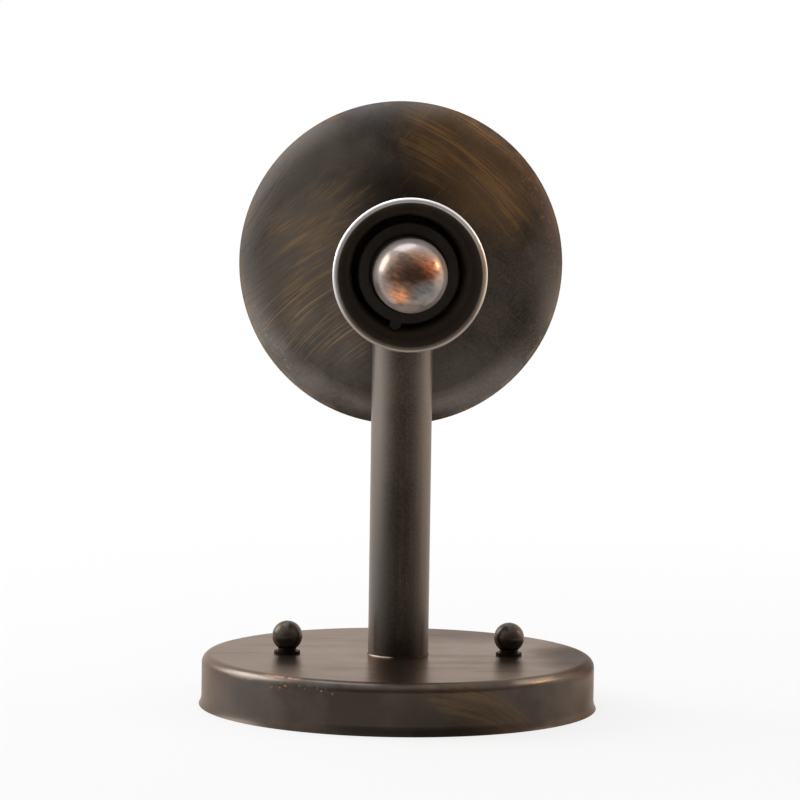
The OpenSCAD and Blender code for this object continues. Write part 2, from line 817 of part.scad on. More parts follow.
wall_plate();
mounting_bar();
mounting_studs();
stud_lock_nuts();
earth_screw();
terminal_block();
terminal_inserts();
terminal_screws();
block_screw();
arm_tube();
arm_foot_bush();
arm_nipple();
earth_tags();
arm_lock_washer();
arm_lock_nut();
candle_cup();
drip_disc();
cup_nipple();
cup_nut_washer();
cup_lock_nut();
disc_cap_nut();
holder_base();
holder_body();
holder_ring();
holder_shell();
centre_contact();
holder_terminals();
holder_terminal_screws();
live_lead();
neutral_lead();
earth_lead();
left_nut_washer();
right_nut_washer();
left_ball_nut();
right_ball_nut();
bulb_tip();
bulb_cap();
bulb_insulator();
bulb_glass();
bulb_stem();
bulb_filament();
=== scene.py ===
from math import cos, pi, radians, sin

import bmesh
import bpy
import numpy as np
from mathutils import Matrix, Vector


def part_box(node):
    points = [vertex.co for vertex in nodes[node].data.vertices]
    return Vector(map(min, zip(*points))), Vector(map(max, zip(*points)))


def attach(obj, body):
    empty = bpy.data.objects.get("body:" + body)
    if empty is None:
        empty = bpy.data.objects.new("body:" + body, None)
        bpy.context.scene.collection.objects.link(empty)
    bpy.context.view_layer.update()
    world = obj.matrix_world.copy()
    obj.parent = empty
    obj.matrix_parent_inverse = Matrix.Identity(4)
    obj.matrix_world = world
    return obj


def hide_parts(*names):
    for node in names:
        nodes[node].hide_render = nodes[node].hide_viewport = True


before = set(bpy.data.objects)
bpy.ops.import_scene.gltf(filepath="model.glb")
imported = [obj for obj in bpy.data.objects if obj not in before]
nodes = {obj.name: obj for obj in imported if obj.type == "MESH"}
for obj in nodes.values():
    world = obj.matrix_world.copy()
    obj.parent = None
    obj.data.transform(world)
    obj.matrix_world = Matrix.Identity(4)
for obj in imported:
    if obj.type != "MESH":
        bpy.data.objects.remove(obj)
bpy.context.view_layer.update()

mm = 0.001

# Places read from the frame, in millimetres: the cup's axis, mouth and back, the bulb's tip, the plate's
# top, and the ball nuts' spacing and foot
cupLow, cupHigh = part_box("candle_cup")
axisZ = (cupLow.z + cupHigh.z) / 2 / mm
mouthY = cupLow.y / mm
faceY = cupHigh.y / mm
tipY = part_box("bulb_tip")[1].y / mm
armLow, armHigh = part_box("arm_tube")
plateZ = armLow.z / mm
nutLow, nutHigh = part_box("right_ball_nut")
studX = (nutLow.x + nutHigh.x) / 2 / mm
neckZ = nutLow.z / mm
print("frame loaded, cup axis at", round(axisZ, 2), "mm")

smooth = {"interpolation_type": "SMOOTHSTEP"}      # a MapRange node that eases in and out
rgba = {"data_type": "RGBA", "give": 2}            # a Mix node for colours
most = (0.3, 0.7)                                  # the range that most of a noise lies in


def srgb(text):
    # sRGB hex to linear: c / 12.92 up to 0.04045, ((c + 0.055) / 1.055) ^ 2.4 above
    values = np.array([int(text[i:i + 2], 16) for i in (1, 3, 5)]) / 255
    values = np.where(values <= 0.04045, values / 12.92, ((values + 0.055) / 1.055) ** 2.4)
    return (*values.tolist(), 1.0)


def addNode(tree, kind, inputs=None, give=0, **settings):
    # one node with its settings; a socket given as an input is linked, anything else is its value;
    # give says which output is handed back, and None means all of them
    node = tree.nodes.new("ShaderNode" + kind)
    for key, value in settings.items():
        setattr(node, key, value)
    for key, value in (inputs or {}).items():
        if isinstance(value, bpy.types.NodeSocket):
            tree.links.new(value, node.inputs[key])
        else:
            node.inputs[key].default_value = value
    return node.outputs if give is None else node.outputs[give]


def newMaterial(name, **sockets):
    # a material with its Principled shader, whose sockets are set by name with _ for a space
    material = bpy.data.materials.new(name)
    material.use_nodes = True
    tree = material.node_tree
    shader = tree.nodes["Principled BSDF"]
    for key, value in sockets.items():
        shader.inputs[key.replace("_", " ")].default_value = value
    return material, tree, shader


def millimetres(tree):
    # Object coordinates in millimetres
    where = addNode(tree, "TexCoord", give="Object")
    return addNode(tree, "VectorMath", {0: where, "Scale": 1 / mm}, operation="SCALE")


def dress(material, *names):
    for name in names:
        slots = nodes[name].data.materials
        slots.clear()
        slots.append(material)


# Camera, at the photograph's place in millimetres: yaw, pitch and a small roll in radians, and a long lens on
# a square picture
cameraLook = {
    "place": (-45.28, -1228.25, 197.13), "yaw": 0.0364, "pitch": 0.0819, "roll": 0.0146,
    "focalPixels": 3935.7, "pictureWidth": 800, "sensor": 36.0, "clipEnd": 100,
}


def makeCamera(look):
    yaw, pitch, roll = look["yaw"], look["pitch"], look["roll"]
    ahead = Vector((sin(yaw) * cos(pitch), cos(yaw) * cos(pitch), -sin(pitch)))
    right = ahead.cross(Vector((0, 0, 1))).normalized()
    up = right.cross(ahead)
    turnedRight = cos(roll) * right + sin(roll) * up
    turnedUp = cos(roll) * up - sin(roll) * right
    data = bpy.data.cameras.new("camera")
    data.sensor_width = look["sensor"]
    data.lens = look["focalPixels"] * look["sensor"] / look["pictureWidth"]
    data.clip_end = look["clipEnd"]
    camera = bpy.data.objects.new("camera", data)
    camera.matrix_world = Matrix((
        (turnedRight.x, turnedUp.x, -ahead.x, look["place"][0] * mm),
        (turnedRight.y, turnedUp.y, -ahead.y, look["place"][1] * mm),
        (turnedRight.z, turnedUp.z, -ahead.z, look["place"][2] * mm),
        (0, 0, 0, 1),
    ))
    bpy.context.scene.collection.objects.link(camera)
    bpy.context.scene.camera = camera


makeCamera(cameraLook)
bpy.context.scene.view_settings.view_transform = "Standard"
print("camera set")

# Studio: a white room whose camera side is dim, soft lamps round it and a pale floor; lengths are
# in metres, apart from floorDropMm
studioLook = {
    "fill": 0.42, "front": "#7d7a76", "lean": (-0.24, 0.9, 0.38), "frontReach": (-0.8, 0.06),
    "floorSize": 6.0, "floorDropMm": 0.1, "floor": "#f2f2f2", "floorRough": 0.9, "floorGloss": 0.1,
    "floorGlow": (0.8, 1.0), "glowReach": (0.12, 0.55), "paperEnd": (-0.15, -0.7),
}
lampLook = {
    "left_softbox": {"place": (-0.84, 0.36, 0.54), "size": (0.7, 0.6), "watts": 6, "tint": "#fffaf4"},
    "top_softbox": {"place": (-0.16, 0.28, 1.10), "size": (0.7, 0.6), "watts": 4, "tint": "#e6eeff"},
    "right_lamp": {"place": (0.92, 0.11, 0.51), "size": (0.16, 0.16), "watts": 1.3, "tint": "#ffdcb4"},
    "right_panel": {"place": (0.85, 0.4, 0.35), "size": (0.8, 0.8), "watts": 1.1, "tint": "#ffdcc0"},
    "warm_screen": {"place": (0.78, -0.55, 0.5), "size": (0.6, 0.5), "watts": 0.25, "tint": "#e07a3c"},
}
white = (1, 1, 1, 1)


def makeRoom(look):
    world = bpy.data.worlds.new("white_room")
    bpy.context.scene.world = world
    world.use_nodes = True
    tree = world.node_tree
    tree.nodes.clear()
    path = addNode(tree, "LightPath", give=None)
    # a direction's share of this lean says how far it points from the camera's side to the back, left and top
    way = addNode(tree, "TexCoord", give="Generated")
    depth = addNode(tree, "VectorMath", {0: way, 1: look["lean"]}, "Value", operation="DOT_PRODUCT")
    near, far = look["frontReach"]
    back = addNode(tree, "MapRange", {"Value": depth, "From Min": near, "From Max": far}, **smooth)
    room = addNode(tree, "Mix", {0: back, 6: srgb(look["front"]), 7: white}, **rgba)
    mirrored, through = path["Is Glossy Ray"], path["Is Transmission Ray"]
    shown = addNode(tree, "Math", {0: mirrored, 1: through}, operation="MAXIMUM")
    fill = (look["fill"],) * 3 + (1,)
    seen = addNode(tree, "Mix", {0: shown, 6: fill, 7: room}, **rgba)
    colour = addNode(tree, "Mix", {0: path["Is Camera Ray"], 6: seen, 7: white}, **rgba)
    light = addNode(tree, "Background", {"Color": colour, "Strength": 1.0})
    addNode(tree, "OutputWorld", {"Surface": light}, give=None)


def hangLamps(lamps):
    for name, lamp in lamps.items():
        data = bpy.data.lights.new(name, "AREA")
        data.shape = "RECTANGLE"
        data.size, data.size_y = lamp["size"]
        data.energy = lamp["watts"]
        data.color = srgb(lamp["tint"])[:3]
        placed = bpy.data.objects.new(name, data)
        placed.visible_camera = False
        place = Vector(lamp["place"])
        aim = Vector((0, 0, axisZ * mm)) - place
        placed.matrix_world = Matrix.Translation(place) @ aim.to_track_quat("-Z", "Y").to_matrix().to_4x4()
        bpy.context.scene.collection.objects.link(placed)


def layFloor(look):
    half, level = look["floorSize"] / 2, -look["floorDropMm"] * mm
    corners = [(-half, -half, level), (half, -half, level), (half, half, level), (-half, half, level)]
    mesh = bpy.data.meshes.new("floor")
    mesh.from_pydata(corners, [], [(0, 1, 2, 3)])
    floor = bpy.data.objects.new("floor", mesh)
    bpy.context.scene.collection.objects.link(floor)
    # matt pale paper: it glows white to the eye and to reflections, and keeps a soft shadow
    material, tree, shader = newMaterial("matt_paper", Base_Color=srgb(look["floor"]),
                                         Roughness=look["floorRough"], Specular_IOR_Level=look["floorGloss"])
    path = addNode(tree, "LightPath", give=None)
    mirrored, through = path["Is Glossy Ray"], path["Is Transmission Ray"]
    shown = addNode(tree, "Math", {0: mirrored, 1: through}, operation="MAXIMUM")
    shown = addNode(tree, "Math", {0: shown, 1: path["Is Camera Ray"]}, operation="MAXIMUM")
    where = addNode(tree, "TexCoord", give="Object")
    away = addNode(tree, "VectorMath", {0: where}, "Value", operation="LENGTH")
    near, far = look["glowReach"]
    least, full = look["floorGlow"]
    share = addNode(tree, "MapRange", {"Value": away, "From Min": near, "From Max": far,
                                       "To Min": least, "To Max": full}, **smooth)
    share = addNode(tree, "Math", {0: shown, 1: share}, operation="MULTIPLY")
    # reflections see the paper end in front, where the dim side of the room starts
    ahead = addNode(tree, "SeparateXYZ", {0: where}, "Y")
    start, end = look["paperEnd"]
    ended = addNode(tree, "MapRange", {"Value": ahead, "From Min": start, "From Max": end}, **smooth)
    ended = addNode(tree, "Math", {0: ended, 1: path["Is Camera Ray"]}, operation="SUBTRACT", use_clamp=True)
    paper = addNode(tree, "Mix", {0: ended, 6: white, 7: srgb(look["front"])}, **rgba)
    glow = addNode(tree, "Emission", {"Color": paper, "Strength": 1.0})
    mixed = addNode(tree, "MixShader", {0: share, 1: shader.outputs[0], 2: glow})
    tree.links.new(mixed, tree.nodes["Material Output"].inputs["Surface"])
    floor.data.materials.append(material)


makeRoom(studioLook)
hangLamps(lampLook)
layFloor(studioLook)
print("studio lit")

# Rubbing and patches of painted light and shade: how strokes waver, how they gather in bundles, where a patch
# starts and where it is full as shares of its reach, and how far a face may turn away from the rubbed side or
# towards the cup's axis
strokeNoise = {"Scale": 1.0, "Detail": 3.0, "Roughness": 0.62, "Distortion": 0.5}
rubLook = {"bundleStretch": 0.7, "bundleKeep": (0.42, 0.6), "patchFade": (1.0, 0.35), "ragged": 0.9,
           "turnedAway": (-0.3, 0.3), "inward": (-0.35, -0.85)}


def strokePattern(tree, place, rubOrLight, turn):
    # noise stretched along the stroke, straight or round a centre, and kept where it is strongest
    if "bend" in rubOrLight:
        flat = addNode(tree, "Mapping", {"Vector": place, "Location": rubOrLight["bend"], "Rotation": turn},
                       vector_type="TEXTURE")
        parts = addNode(tree, "SeparateXYZ", {0: flat}, None)
        reach = addNode(tree, "VectorMath", {0: flat}, "Value", operation="LENGTH")
        angle = addNode(tree, "Math", {0: parts["Y"], 1: parts["X"]}, operation="ARCTAN2")
        along = addNode(tree, "Math", {0: angle, 1: rubOrLight["bendMm"] / rubOrLight["lengthMm"]}, operation="MULTIPLY")
        across = addNode(tree, "Math", {0: reach, 1: 1 / rubOrLight["widthMm"]}, operation="MULTIPLY")
        strokes = addNode(tree, "CombineXYZ", {0: along, 1: across})
    else:
        size = (rubOrLight["lengthMm"], rubOrLight["widthMm"], rubOrLight.get("depthMm", rubOrLight["widthMm"]))
        strokes = addNode(tree, "Mapping", {"Vector": place, "Location": rubOrLight["at"], "Rotation": turn,
                                            "Scale": size}, vector_type="TEXTURE")
    streak = addNode(tree, "TexNoise", {"Vector": strokes, **strokeNoise})
    low, high = rubOrLight["keep"]
    streak = addNode(tree, "MapRange", {"Value": streak, "From Min": low, "From Max": high}, **smooth)
    if "bundleMm" in rubOrLight:
        # strokes come in bundles, where the pad pressed harder
        wider = rubOrLight["widthMm"] / rubOrLight["bundleMm"]
        stretch = (rubLook["bundleStretch"], wider, wider)
        bundle = addNode(tree, "VectorMath", {0: strokes, 1: stretch}, operation="MULTIPLY")
        bundle = addNode(tree, "TexNoise", {"Vector": bundle, "Scale": 1.0, "Detail": 2.0})
        low, high = rubLook["bundleKeep"]
        bundle = addNode(tree, "MapRange", {"Value": bundle, "From Min": low, "From Max": high}, **smooth)
        streak = addNode(tree, "Math", {0: streak, 1: bundle}, operation="MULTIPLY")
    return addNode(tree, "MapRange", {"Value": streak, "To Min": rubOrLight.get("haze", 0.0)})


def rubOrLightPattern(tree, place, cloud, rubOrLight):
    # a patch, full in its middle and ragged by the clouds, of strokes or, without a width, of even colour:
    # haze, painted light or painted shade
    turn = [radians(a) for a in rubOrLight["turn"]]
    patch = addNode(tree, "Mapping", {"Vector": place, "Location": rubOrLight["at"], "Rotation": turn,
                                      "Scale": rubOrLight["patch"]}, vector_type="TEXTURE")
    away = addNode(tree, "VectorMath", {0: patch}, "Value", operation="LENGTH")
    wander = rubOrLight.get("ragged", rubLook["ragged"])
    ragged = addNode(tree, "Math", {0: cloud, 1: -wander, 2: away}, operation="MULTIPLY_ADD")
    start, full = rubLook["patchFade"]
    inside = addNode(tree, "MapRange", {"Value": ragged, "From Min": start - wander / 2,
                                        "From Max": full - wander / 2, "To Max": rubOrLight["strength"]},
                     **smooth)
    if "widthMm" not in rubOrLight:
        return inside
    strokes = strokePattern(tree, place, rubOrLight, turn)
    return addNode(tree, "Math", {0: strokes, 1: inside}, operation="MULTIPLY")


def edgePattern(tree, place, edge):
    # a ring of wear, painted highlight or painted shade: distance from a circle of that radius and level
    # about an axis, broken by noise and kept to an arc
    local = addNode(tree, "Mapping", {"Vector": place, "Location": edge["at"],
                                      "Rotation": [radians(a) for a in edge["turn"]]}, vector_type="TEXTURE")
    level = addNode(tree, "SeparateXYZ", {0: local}, "Z")
    plan = addNode(tree, "VectorMath", {0: local, 1: (1, 1, 0)}, operation="MULTIPLY")
    radius = addNode(tree, "VectorMath", {0: plan}, "Value", operation="LENGTH")
    off = addNode(tree, "Math", {0: radius, 1: edge["radius"]}, operation="SUBTRACT")
    gap = addNode(tree, "CombineXYZ", {0: off, 1: level})
    gap = addNode(tree, "VectorMath", {0: gap}, "Value", operation="LENGTH")
    core = edge.get("core", 0.0)
    ring = addNode(tree, "MapRange", {"Value": gap, "From Min": edge["width"], "From Max": core}, **smooth)
    low, high = edge["keep"]
    broken = addNode(tree, "TexNoise", {"Vector": place, "Scale": 1 / edge["chipMm"], "Detail": 3.0})
    broken = addNode(tree, "MapRange", {"Value": broken, "From Min": low, "From Max": high,
                                        "To Max": edge["strength"]}, **smooth)
    shows = addNode(tree, "Math", {0: ring, 1: broken}, operation="MULTIPLY")
    if "facing" in edge:
        start, full = edge["arc"]
        side = addNode(tree, "VectorMath", {0: plan}, operation="NORMALIZE")
        side = addNode(tree, "VectorMath", {0: side, 1: edge["facing"]}, "Value", operation="DOT_PRODUCT")
        side = addNode(tree, "MapRange", {"Value": side, "From Min": start, "From Max": full}, **smooth)
        shows = addNode(tree, "Math", {0: shows, 1: side}, operation="MULTIPLY")
    return shows


def inwardShareAndDepthLight(tree, place, within):
    # how far a face looks towards the axis, and the colour there, which changes with depth: painted light,
    # paler deeper in the cup
    spoke = addNode(tree, "VectorMath", {0: place, 1: within["at"]}, operation="SUBTRACT")
    spoke = addNode(tree, "VectorMath", {0: spoke, 1: within["plane"]}, operation="MULTIPLY")
    spoke = addNode(tree, "VectorMath", {0: spoke}, operation="NORMALIZE")
    normal = addNode(tree, "NewGeometry", give="Normal")
    inward = addNode(tree, "VectorMath", {0: spoke, 1: normal}, "Value", operation="DOT_PRODUCT")
    start, full = rubLook["inward"]
    inwardShare = addNode(tree, "MapRange", {"Value": inward, "From Min": start, "From Max": full}, **smooth)
    near, far = within["reach"]
    deep = addNode(tree, "SeparateXYZ", {0: place}, "Y")
    deep = addNode(tree, "MapRange", {"Value": deep, "From Min": near, "From Max": far})
    first, last = within["colours"]
    return inwardShare, addNode(tree, "Mix", {0: deep, 6: srgb(first), 7: srgb(last)}, **rgba)


# Hand-rubbed dark bronze: brass blackened by a brown patina, waxed, then rubbed back so that brass shows in
# brushed streaks and on edges. The eye gets a satin metal, near black face on and pale at a glancing angle.
# Strokes, grain and specks are drawn coarser than real ones, so that they show. Some patches and rings are
# painted light, painted shade or painted highlights, mixed into the colour.
def rubbedBronze(name, look):
    material, tree, shader = newMaterial(name, Metallic=look["metal"], Specular_Tint=srgb(look["glance"]))
    place = millimetres(tree)
    cloud = addNode(tree, "TexNoise", {"Vector": place, "Scale": 1 / look["cloudMm"], "Detail": 4.0,
                                       "Roughness": 0.6})
    low, high = look["blot"]
    blot = addNode(tree, "MapRange", {"Value": cloud, "From Min": low, "From Max": high}, **smooth)
    speck = addNode(tree, "TexNoise", {"Vector": place, "Scale": 1 / look["speckMm"], "Detail": 2.0})
    speck = addNode(tree, "MapRange", {"Value": speck, "From Min": most[0], "From Max": most[1],
                                       "To Min": -look["speck"], "To Max": look["speck"]})
    blot = addNode(tree, "Math", {0: blot, 1: speck}, operation="ADD")
    dark, mid = srgb(look["dark"]), srgb(look["mid"])
    colour = addNode(tree, "Mix", {0: blot, 6: dark, 7: mid}, clamp_factor=False, **rgba)
    if "faces" in look:
        # faces that look away from the rubbed side keep all but a share of their patina
        start, full = rubLook["turnedAway"]
        normal = addNode(tree, "NewGeometry", give="Normal")
        rubbed = addNode(tree, "VectorMath", {0: normal, 1: look["faces"]}, "Value", operation="DOT_PRODUCT")
        rubbed = addNode(tree, "MapRange", {"Value": rubbed, "From Min": start, "From Max": full,
                                            "To Min": look["rear"]})
    glance, polish = srgb(look["glance"]), 0.0
    # patches of rubbing, and patches of painted light and shade, each mixed into the colour
    for rubOrLight in look.get("rubsAndPaintedLight", ()):
        shows = rubOrLightPattern(tree, place, cloud, rubOrLight)
        if "faces" in look and "widthMm" in rubOrLight:
            shows = addNode(tree, "Math", {0: shows, 1: rubbed}, operation="MULTIPLY")
        colour = addNode(tree, "Mix", {0: shows, 6: colour, 7: srgb(rubOrLight["colour"])}, **rgba)
        polish = addNode(tree, "Math", {0: polish, 1: shows}, operation="MAXIMUM")
        if "glance" in rubOrLight:
            # what shows at a glancing angle changes there too
            glance = addNode(tree, "Mix", {0: shows, 6: glance, 7: srgb(rubOrLight["glance"])}, **rgba)
            tree.links.new(glance, shader.inputs["Specular Tint"])
    # rings of wear, and rings of painted highlight or shade
    for edge in look.get("edges", ()):
        shows = edgePattern(tree, place, edge)
        colour = addNode(tree, "Mix", {0: shows, 6: colour, 7: srgb(edge["colour"])}, **rgba)
        polish = addNode(tree, "Math", {0: polish, 1: shows}, operation="MAXIMUM")
    if "inside" in look:
        inwardShare, paintedDepthLight = inwardShareAndDepthLight(tree, place, look["inside"])
        colour = addNode(tree, "Mix", {0: inwardShare, 6: colour, 7: paintedDepthLight}, **rgba)
        metal = addNode(tree, "MapRange", {"Value": inwardShare, "To Min": look["metal"],
                                           "To Max": look["inside"]["metal"]})
        tree.links.new(metal, shader.inputs["Metallic"])
    tree.links.new(colour, shader.inputs["Base Color"])
    rough = addNode(tree, "MapRange", {"Value": cloud, "From Min": most[0], "From Max": most[1],
                                       "To Min": look["rough"][0], "To Max": look["rough"][1]})
    rough = addNode(tree, "Math", {0: polish, 1: look["shine"], 2: rough}, operation="MULTIPLY_ADD")
    tree.links.new(rough, shader.inputs["Roughness"])
    grain = addNode(tree, "TexNoise", {"Vector": place, "Scale": 1 / look["grainMm"], "Detail": 3.0})
    bump = addNode(tree, "Bump", {"Strength": look["bump"], "Distance": look["bumpMm"] * mm, "Height": grain})
    tree.links.new(bump, shader.inputs["Normal"])
    return material


bronzeLook = {"metal": 0.88, "dark": "#3f3731", "mid": "#524941", "glance": "#fff6f0", "blot": (0.36, 0.66),
              "cloudMm": 26, "grainMm": 1.3, "speckMm": 0.7, "speck": 0.5, "rough": (0.28, 0.36),
              "shine": -0.05, "bump": 0.12, "bumpMm": 0.05}
upright = (0, 0, 0)      # leaves a pattern's z along the arm
onDisc = (90, 0, 0)      # lays a pattern flat on the disc
toCup = (-90, 0, 0)      # turns a pattern's z onto the cup's axis

# Disc: paler patches on the left, at the top, on the right and low right, a darker patch above the cup, dark
# striations, golden strokes in bundles on the left and up right, and long scratches; worn and specked
# towards its edge
discSpecks = {"at": (0, 22.5, axisZ), "turn": toCup, "width": 2.2, "chipMm": 0.9, "keep": (0.56, 0.68),
              "strength": 0.7, "colour": "#b59468"}
discLook = dict(
    bronzeLook, dark="#4b433c", mid="#5f564e", rough=(0.34, 0.42), faces=(0, -1, 0), rear=0.15,
    rubsAndPaintedLight=(
        {"at": (-50, faceY, axisZ + 10), "turn": onDisc, "patch": (62, 90, 60), "strength": 0.72,
         "colour": "#958d86"},
        {"at": (-6, faceY, axisZ + 54), "turn": onDisc, "patch": (40, 14, 60), "strength": 0.4,
         "colour": "#86868a"},
        {"at": (54, faceY, axisZ + 4), "turn": onDisc, "patch": (16, 60, 60), "ragged": 0.4, "strength": 0.6,
         "colour": "#8d8176"},
        {"at": (26, faceY, axisZ - 42), "turn": onDisc, "patch": (44, 24, 60), "strength": 0.32,
         "colour": "#857d75"},
        {"at": (2, faceY, axisZ + 22), "turn": onDisc, "patch": (26, 14, 60), "strength": 0.7,
         "colour": "#3a322c"},
        {"at": (-20, faceY, axisZ - 4), "turn": (90, -36, 0), "lengthMm": 26, "widthMm": 0.7, "depthMm": 6,
         "keep": (0.52, 0.66), "patch": (60, 40, 40), "strength": 0.25, "colour": "#2f2823"},
        {"at": (-43, faceY, axisZ + 14), "turn": (90, -55, 0), "lengthMm": 20, "widthMm": 0.5, "depthMm": 6,
         "keep": (0.5, 0.62), "patch": (24, 10, 40), "strength": 0.35, "colour": "#2f2823"},
        {"at": (-28, faceY, axisZ - 4), "turn": onDisc, "bend": (14, faceY, axisZ - 66), "bendMm": 75,
         "lengthMm": 14, "widthMm": 0.5, "keep": (0.46, 0.58), "bundleMm": 4, "patch": (24, 32, 40),
         "strength": 0.85, "colour": "#bfa07c", "haze": 0.18},
        {"at": (-28, faceY, axisZ - 17), "turn": onDisc, "bend": (14, faceY, axisZ - 66), "bendMm": 65,
         "lengthMm": 44, "widthMm": 0.6, "keep": (0.57, 0.64), "patch": (25, 19, 40), "strength": 0.9,
         "colour": "#d8b48a"},
        {"at": (-21, faceY, axisZ + 18), "turn": (90, -42, 0), "lengthMm": 12, "widthMm": 0.45, "depthMm": 6,
         "keep": (0.46, 0.58), "bundleMm": 4, "patch": (20, 14, 40), "strength": 0.75, "colour": "#bfa07c",
         "haze": 0.15},
        {"at": (21, faceY, axisZ + 30), "turn": (90, 48, 0), "bend": (-30, faceY, axisZ - 36), "bendMm": 80,
         "lengthMm": 26, "widthMm": 0.5, "keep": (0.38, 0.66), "bundleMm": 5, "patch": (38, 20, 40),
         "strength": 1.0, "colour": "#b98d5b", "haze": 0.3},
        {"at": (-6, faceY, axisZ + 10), "turn": (90, -48, 0), "lengthMm": 50, "widthMm": 0.35, "depthMm": 6,
         "keep": (0.66, 0.72), "patch": (70, 60, 60), "strength": 0.8, "colour": "#b79c78"},
        {"at": (24, faceY, axisZ), "turn": (90, 40, 0), "lengthMm": 50, "widthMm": 0.35, "depthMm": 6,
         "keep": (0.64, 0.7), "patch": (50, 60, 60), "strength": 0.5, "colour": "#a5825a"},
    ),
    edges=(
        {"at": (0, 23.0, axisZ), "turn": toCup, "radius": 51.2, "width": 1.3, "chipMm": 6,
         "keep": (0.42, 0.62), "strength": 0.8, "colour": "#b58f62"},
        dict(discSpecks, radius=48, facing=(0.96, -0.28, 0), arc=(0.86, 0.97)),
        dict(discSpecks, radius=48.5, facing=(-0.86, 0.515, 0), arc=(0.93, 0.99)),
    ),
)
discBronze = rubbedBronze("hand_rubbed_bronze_disc", discLook)

# Plate: a faintly streaked top, painted paler as light for what it reflects at a glancing angle and painted
# darker as shade at the right and the back; a wall with painted shade in front and at the right end, painted
# light at the left end and swept with gold; the rounded edge is rubbed, with copper specks left of the
# middle, painted highlights and a painted shade line at its foot
plateLook = dict(
    bronzeLook, glance="#ffebdd", speck=0.0, grainMm=6, bump=0.06,
    rubsAndPaintedLight=(
        # painted light: the whole top paler, for the backdrop it reflects at a glancing angle, with faint
        # wiped streaks
        {"at": (0, 0, plateZ), "turn": upright, "lengthMm": 40, "widthMm": 5, "keep": (0.3, 0.7),
         "patch": (90, 90, 5), "ragged": 0.15, "strength": 0.5, "colour": "#5d534c", "haze": 0.7},
        {"at": (0, 0, plateZ), "turn": (0, 0, 3), "lengthMm": 90, "widthMm": 9, "keep": (0.48, 0.62),
         "patch": (90, 90, 5), "ragged": 0.15, "strength": 0.7, "colour": "#524b46", "glance": "#dfcbbc"},
        # painted shade: the top darker at the right and at the back, with a dimmer glancing tint
        {"at": (60, -6, plateZ), "turn": upright, "patch": (21, 50, 5), "ragged": 0.4, "strength": 0.85,
         "colour": "#46403b", "glance": "#a09189"},
        {"at": (24, 52, plateZ), "turn": upright, "patch": (36, 30, 5), "ragged": 0.4, "strength": 0.5,
         "colour": "#46403b", "glance": "#a79a93"},
        # painted shade on the wall in front
        {"at": (13, -60, 7), "turn": upright, "patch": (25, 20, 13), "ragged": 0.4, "strength": 0.5,
         "colour": "#261f18"},
        # painted light at the wall's left end
        {"at": (-50, -36, 5), "turn": upright, "patch": (22, 24, 20), "ragged": 0.4, "strength": 0.2,
         "colour": "#85807b"},
        {"at": (25, -58, 7), "turn": (90, 24, 0), "bend": (2, -60, -44), "bendMm": 56, "lengthMm": 18,
         "widthMm": 1.2, "keep": (0.36, 0.76), "patch": (26, 8, 20), "strength": 0.36, "colour": "#93714c",
         "haze": 0.3},
        # painted shade low on the wall in front, and at the right end with a dimmer glancing tint
        {"at": (26, -57, 2), "turn": upright, "patch": (24, 20, 10), "ragged": 0.4, "strength": 0.5,
         "colour": "#241d17"},
        {"at": (60, -17, 2), "turn": upright, "patch": (14, 24, 14), "ragged": 0.4, "strength": 0.36,
         "colour": "#2c241f", "glance": "#857972"},
    ),
    edges=(
        # painted highlight on the edge at the left
        {"at": (0, 0, plateZ - 0.8), "turn": upright, "radius": 60.95, "width": 1.3, "chipMm": 14,
         "keep": (0.1, 0.4), "strength": 0.1, "colour": "#d9d3d0", "facing": (-0.7, -0.71, 0),
         "arc": (0.95, 0.99)},
        {"at": (0, 0, plateZ - 0.25), "turn": upright, "radius": 60.3, "width": 0.8, "chipMm": 2,
         "keep": (0.4, 0.56), "strength": 0.8, "colour": "#c98f70", "facing": (-0.62, -0.78, 0),
         "arc": (0.985, 0.997)},
        {"at": (0, 0, plateZ - 3), "turn": upright, "radius": 61.7, "width": 1.6, "chipMm": 1.1,
         "keep": (0.58, 0.68), "strength": 0.7, "colour": "#b08a6c", "facing": (-0.5, -0.87, 0),
         "arc": (0.975, 0.996)},
        # painted shade: a dark line round the plate's foot, by the floor
        {"at": (0, 0, 0.3), "turn": upright, "radius": 62.5, "width": 1.7, "core": 0.5, "chipMm": 9,
         "keep": (0.0, 0.2), "strength": 0.3, "colour": "#15110e"},
        # painted highlights on the edge: a short one at the right and a faint one all round
        {"at": (0, 0, plateZ - 0.8), "turn": upright, "radius": 60.95, "width": 1.3, "chipMm": 9,
         "keep": (0.1, 0.4), "strength": 0.28, "colour": "#e8d2b8", "facing": (0.66, -0.75, 0),
         "arc": (0.984, 0.998)},
        {"at": (0, 0, plateZ - 1.0), "turn": upright, "radius": 61.05, "width": 1.8, "chipMm": 12,
         "keep": (0.35, 0.65), "strength": 0.08, "colour": "#b4b0ae"},
    ),
)
plateBronze = rubbedBronze("hand_rubbed_bronze_plate", plateLook)

